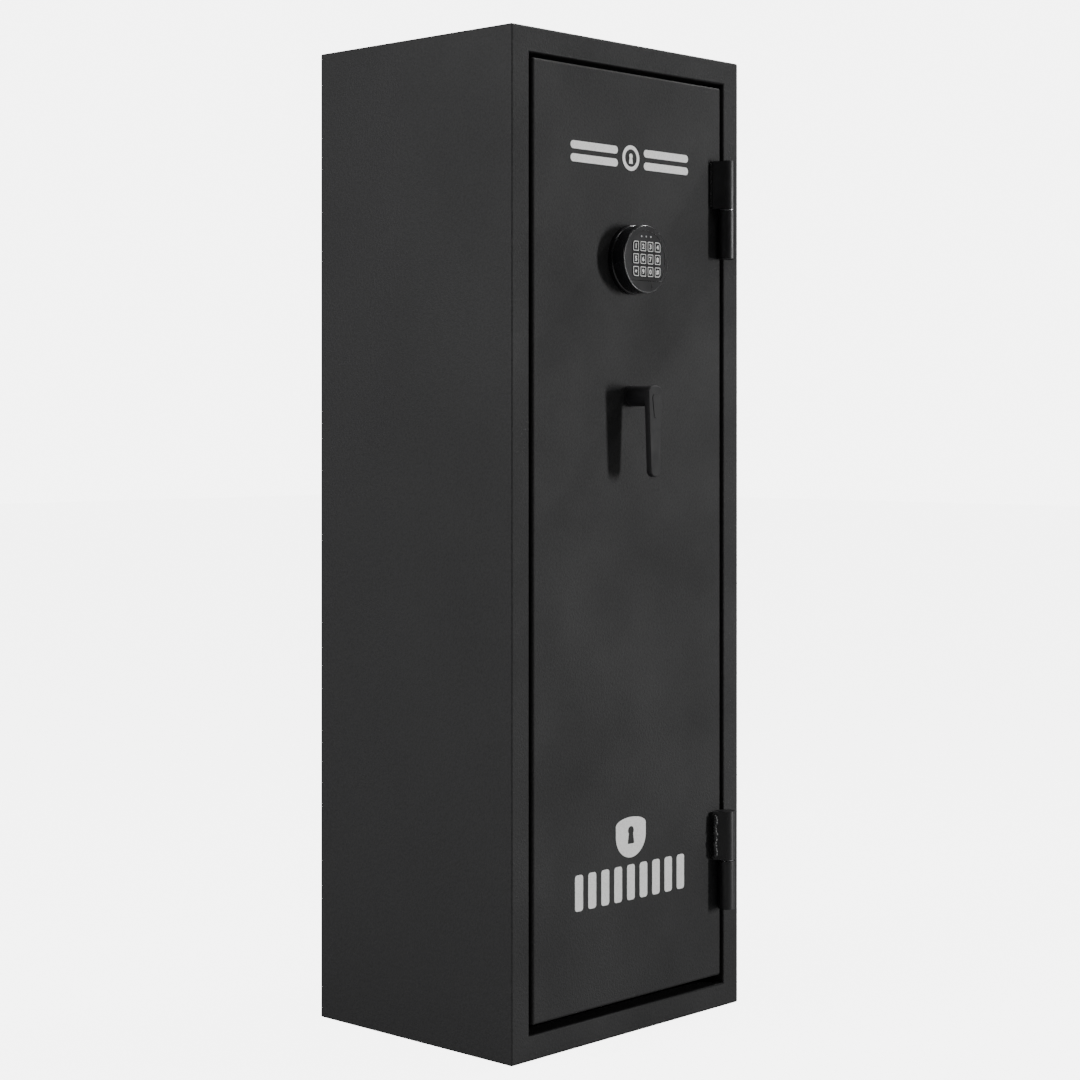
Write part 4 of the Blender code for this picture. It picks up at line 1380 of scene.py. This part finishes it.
LIGHTS = (
    SoftBox("key", (5.10, -6.17, 1.00), (0.0, -0.2, 0.80), 0.50, 2.20, 400.0),
    SoftBox("left_fill", (-4.2, 0.9, 2.3), (-0.2, 0.0, 1.0), 2.0, 2.4, 212.0),
    SoftBox("overhead", (-0.15, -1.25, 3.05), (0.0, -0.2, 1.2), 0.60, 0.30, 11.0),
    SoftBox("edge", (1.85, -0.36, 2.95), (0.0, -0.2, 1.38), 0.45, 0.20, 48.0),
)


@dataclass
class Studio:
    """Camera, floor and lights."""

    camera_at: Triple = (-2.470, -2.343, 0.8546)
    look: Triple = (0.7278, 0.6858, 0.0)
    lens: float = 77.2
    shift_y: float = -112 / 1080
    ambient: float = 0.03
    backdrop: float = 6.0
    floor_glow: float = 5.6

    def build(self) -> None:
        """Sets up the camera, the floor, the lights and the surroundings."""
        self.camera()
        self.floor()
        for box in LIGHTS:
            self.light(box)
        self.surroundings()

    def camera(self) -> None:
        """Places the level camera."""
        data = bpy.data.cameras.new("camera")
        data.lens = self.lens
        data.shift_y = self.shift_y
        camera = bpy.data.objects.new("camera", data)
        camera.location = self.camera_at
        camera.rotation_euler = Vector(self.look).to_track_quat("-Z", "Y").to_euler()
        bpy.context.scene.collection.objects.link(camera)
        bpy.context.scene.camera = camera

    def floor(self) -> None:
        """Lays a wide pale floor."""
        Bench.clear()
        bpy.ops.mesh.primitive_plane_add(size=40.0, location=(0, 0, -0.0002))
        floor = Bench.named("studio_floor")
        pale = bpy.data.materials.new("studio_floor")
        pale.use_nodes = True
        shader = pale.node_tree.nodes["Principled BSDF"]
        shader.inputs["Base Color"].default_value = (0.60, 0.60, 0.60, 1)
        shader.inputs["Roughness"].default_value = 0.9
        shader.inputs["Emission Color"].default_value = (1.0, 1.0, 1.0, 1.0)
        rays = pale.node_tree.nodes.new("ShaderNodeLightPath")
        glow = pale.node_tree.nodes.new("ShaderNodeMath")
        glow.operation = "MULTIPLY"
        glow.inputs[1].default_value = self.floor_glow
        pale.node_tree.links.new(rays.outputs["Is Camera Ray"], glow.inputs[0])
        pale.node_tree.links.new(glow.outputs[0], shader.inputs["Emission Strength"])
        floor.data.materials.append(pale)

    def light(self, box: SoftBox) -> None:
        """Hangs a soft light."""
        data = bpy.data.lights.new(box.name, "AREA")
        data.shape = "RECTANGLE"
        data.size = box.width
        data.size_y = box.height
        data.energy = box.power
        lamp = bpy.data.objects.new(box.name, data)
        lamp.location = box.at
        lamp.rotation_euler = (Vector(box.towards) - Vector(box.at)).to_track_quat("-Z", "Y").to_euler()
        bpy.context.scene.collection.objects.link(lamp)

    def surroundings(self) -> None:
        """Makes the room plain and pale."""
        world = bpy.data.worlds.new("pale_room")
        world.use_nodes = True
        tree = world.node_tree
        ambient = tree.nodes["Background"]
        ambient.inputs["Strength"].default_value = self.ambient
        seen = tree.nodes.new("ShaderNodeBackground")
        seen.inputs["Strength"].default_value = self.backdrop
        for shade in (ambient, seen):
            shade.inputs["Color"].default_value = (1.0, 1.0, 1.0, 1.0)
        mix = tree.nodes.new("ShaderNodeMixShader")
        rays = tree.nodes.new("ShaderNodeLightPath")
        tree.links.new(rays.outputs["Is Camera Ray"], mix.inputs[0])
        tree.links.new(ambient.outputs[0], mix.inputs[1])
        tree.links.new(seen.outputs[0], mix.inputs[2])
        tree.links.new(mix.outputs[0], tree.nodes["World Output"].inputs["Surface"])
        bpy.context.scene.world = world


def main() -> None:
    """Builds every sub-assembly and the studio."""
    logging.basicConfig(level=logging.INFO, format="%(message)s")
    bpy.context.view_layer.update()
    Cabinet().build()
    Hinge("upper", heavy_weld=False).build()
    Hinge("lower", heavy_weld=True).build()
    Door().build()
    Lever().build()
    Keypad().build()
    BoltWork().build()
    Studio().build()


if __name__ == "__main__":
    main()
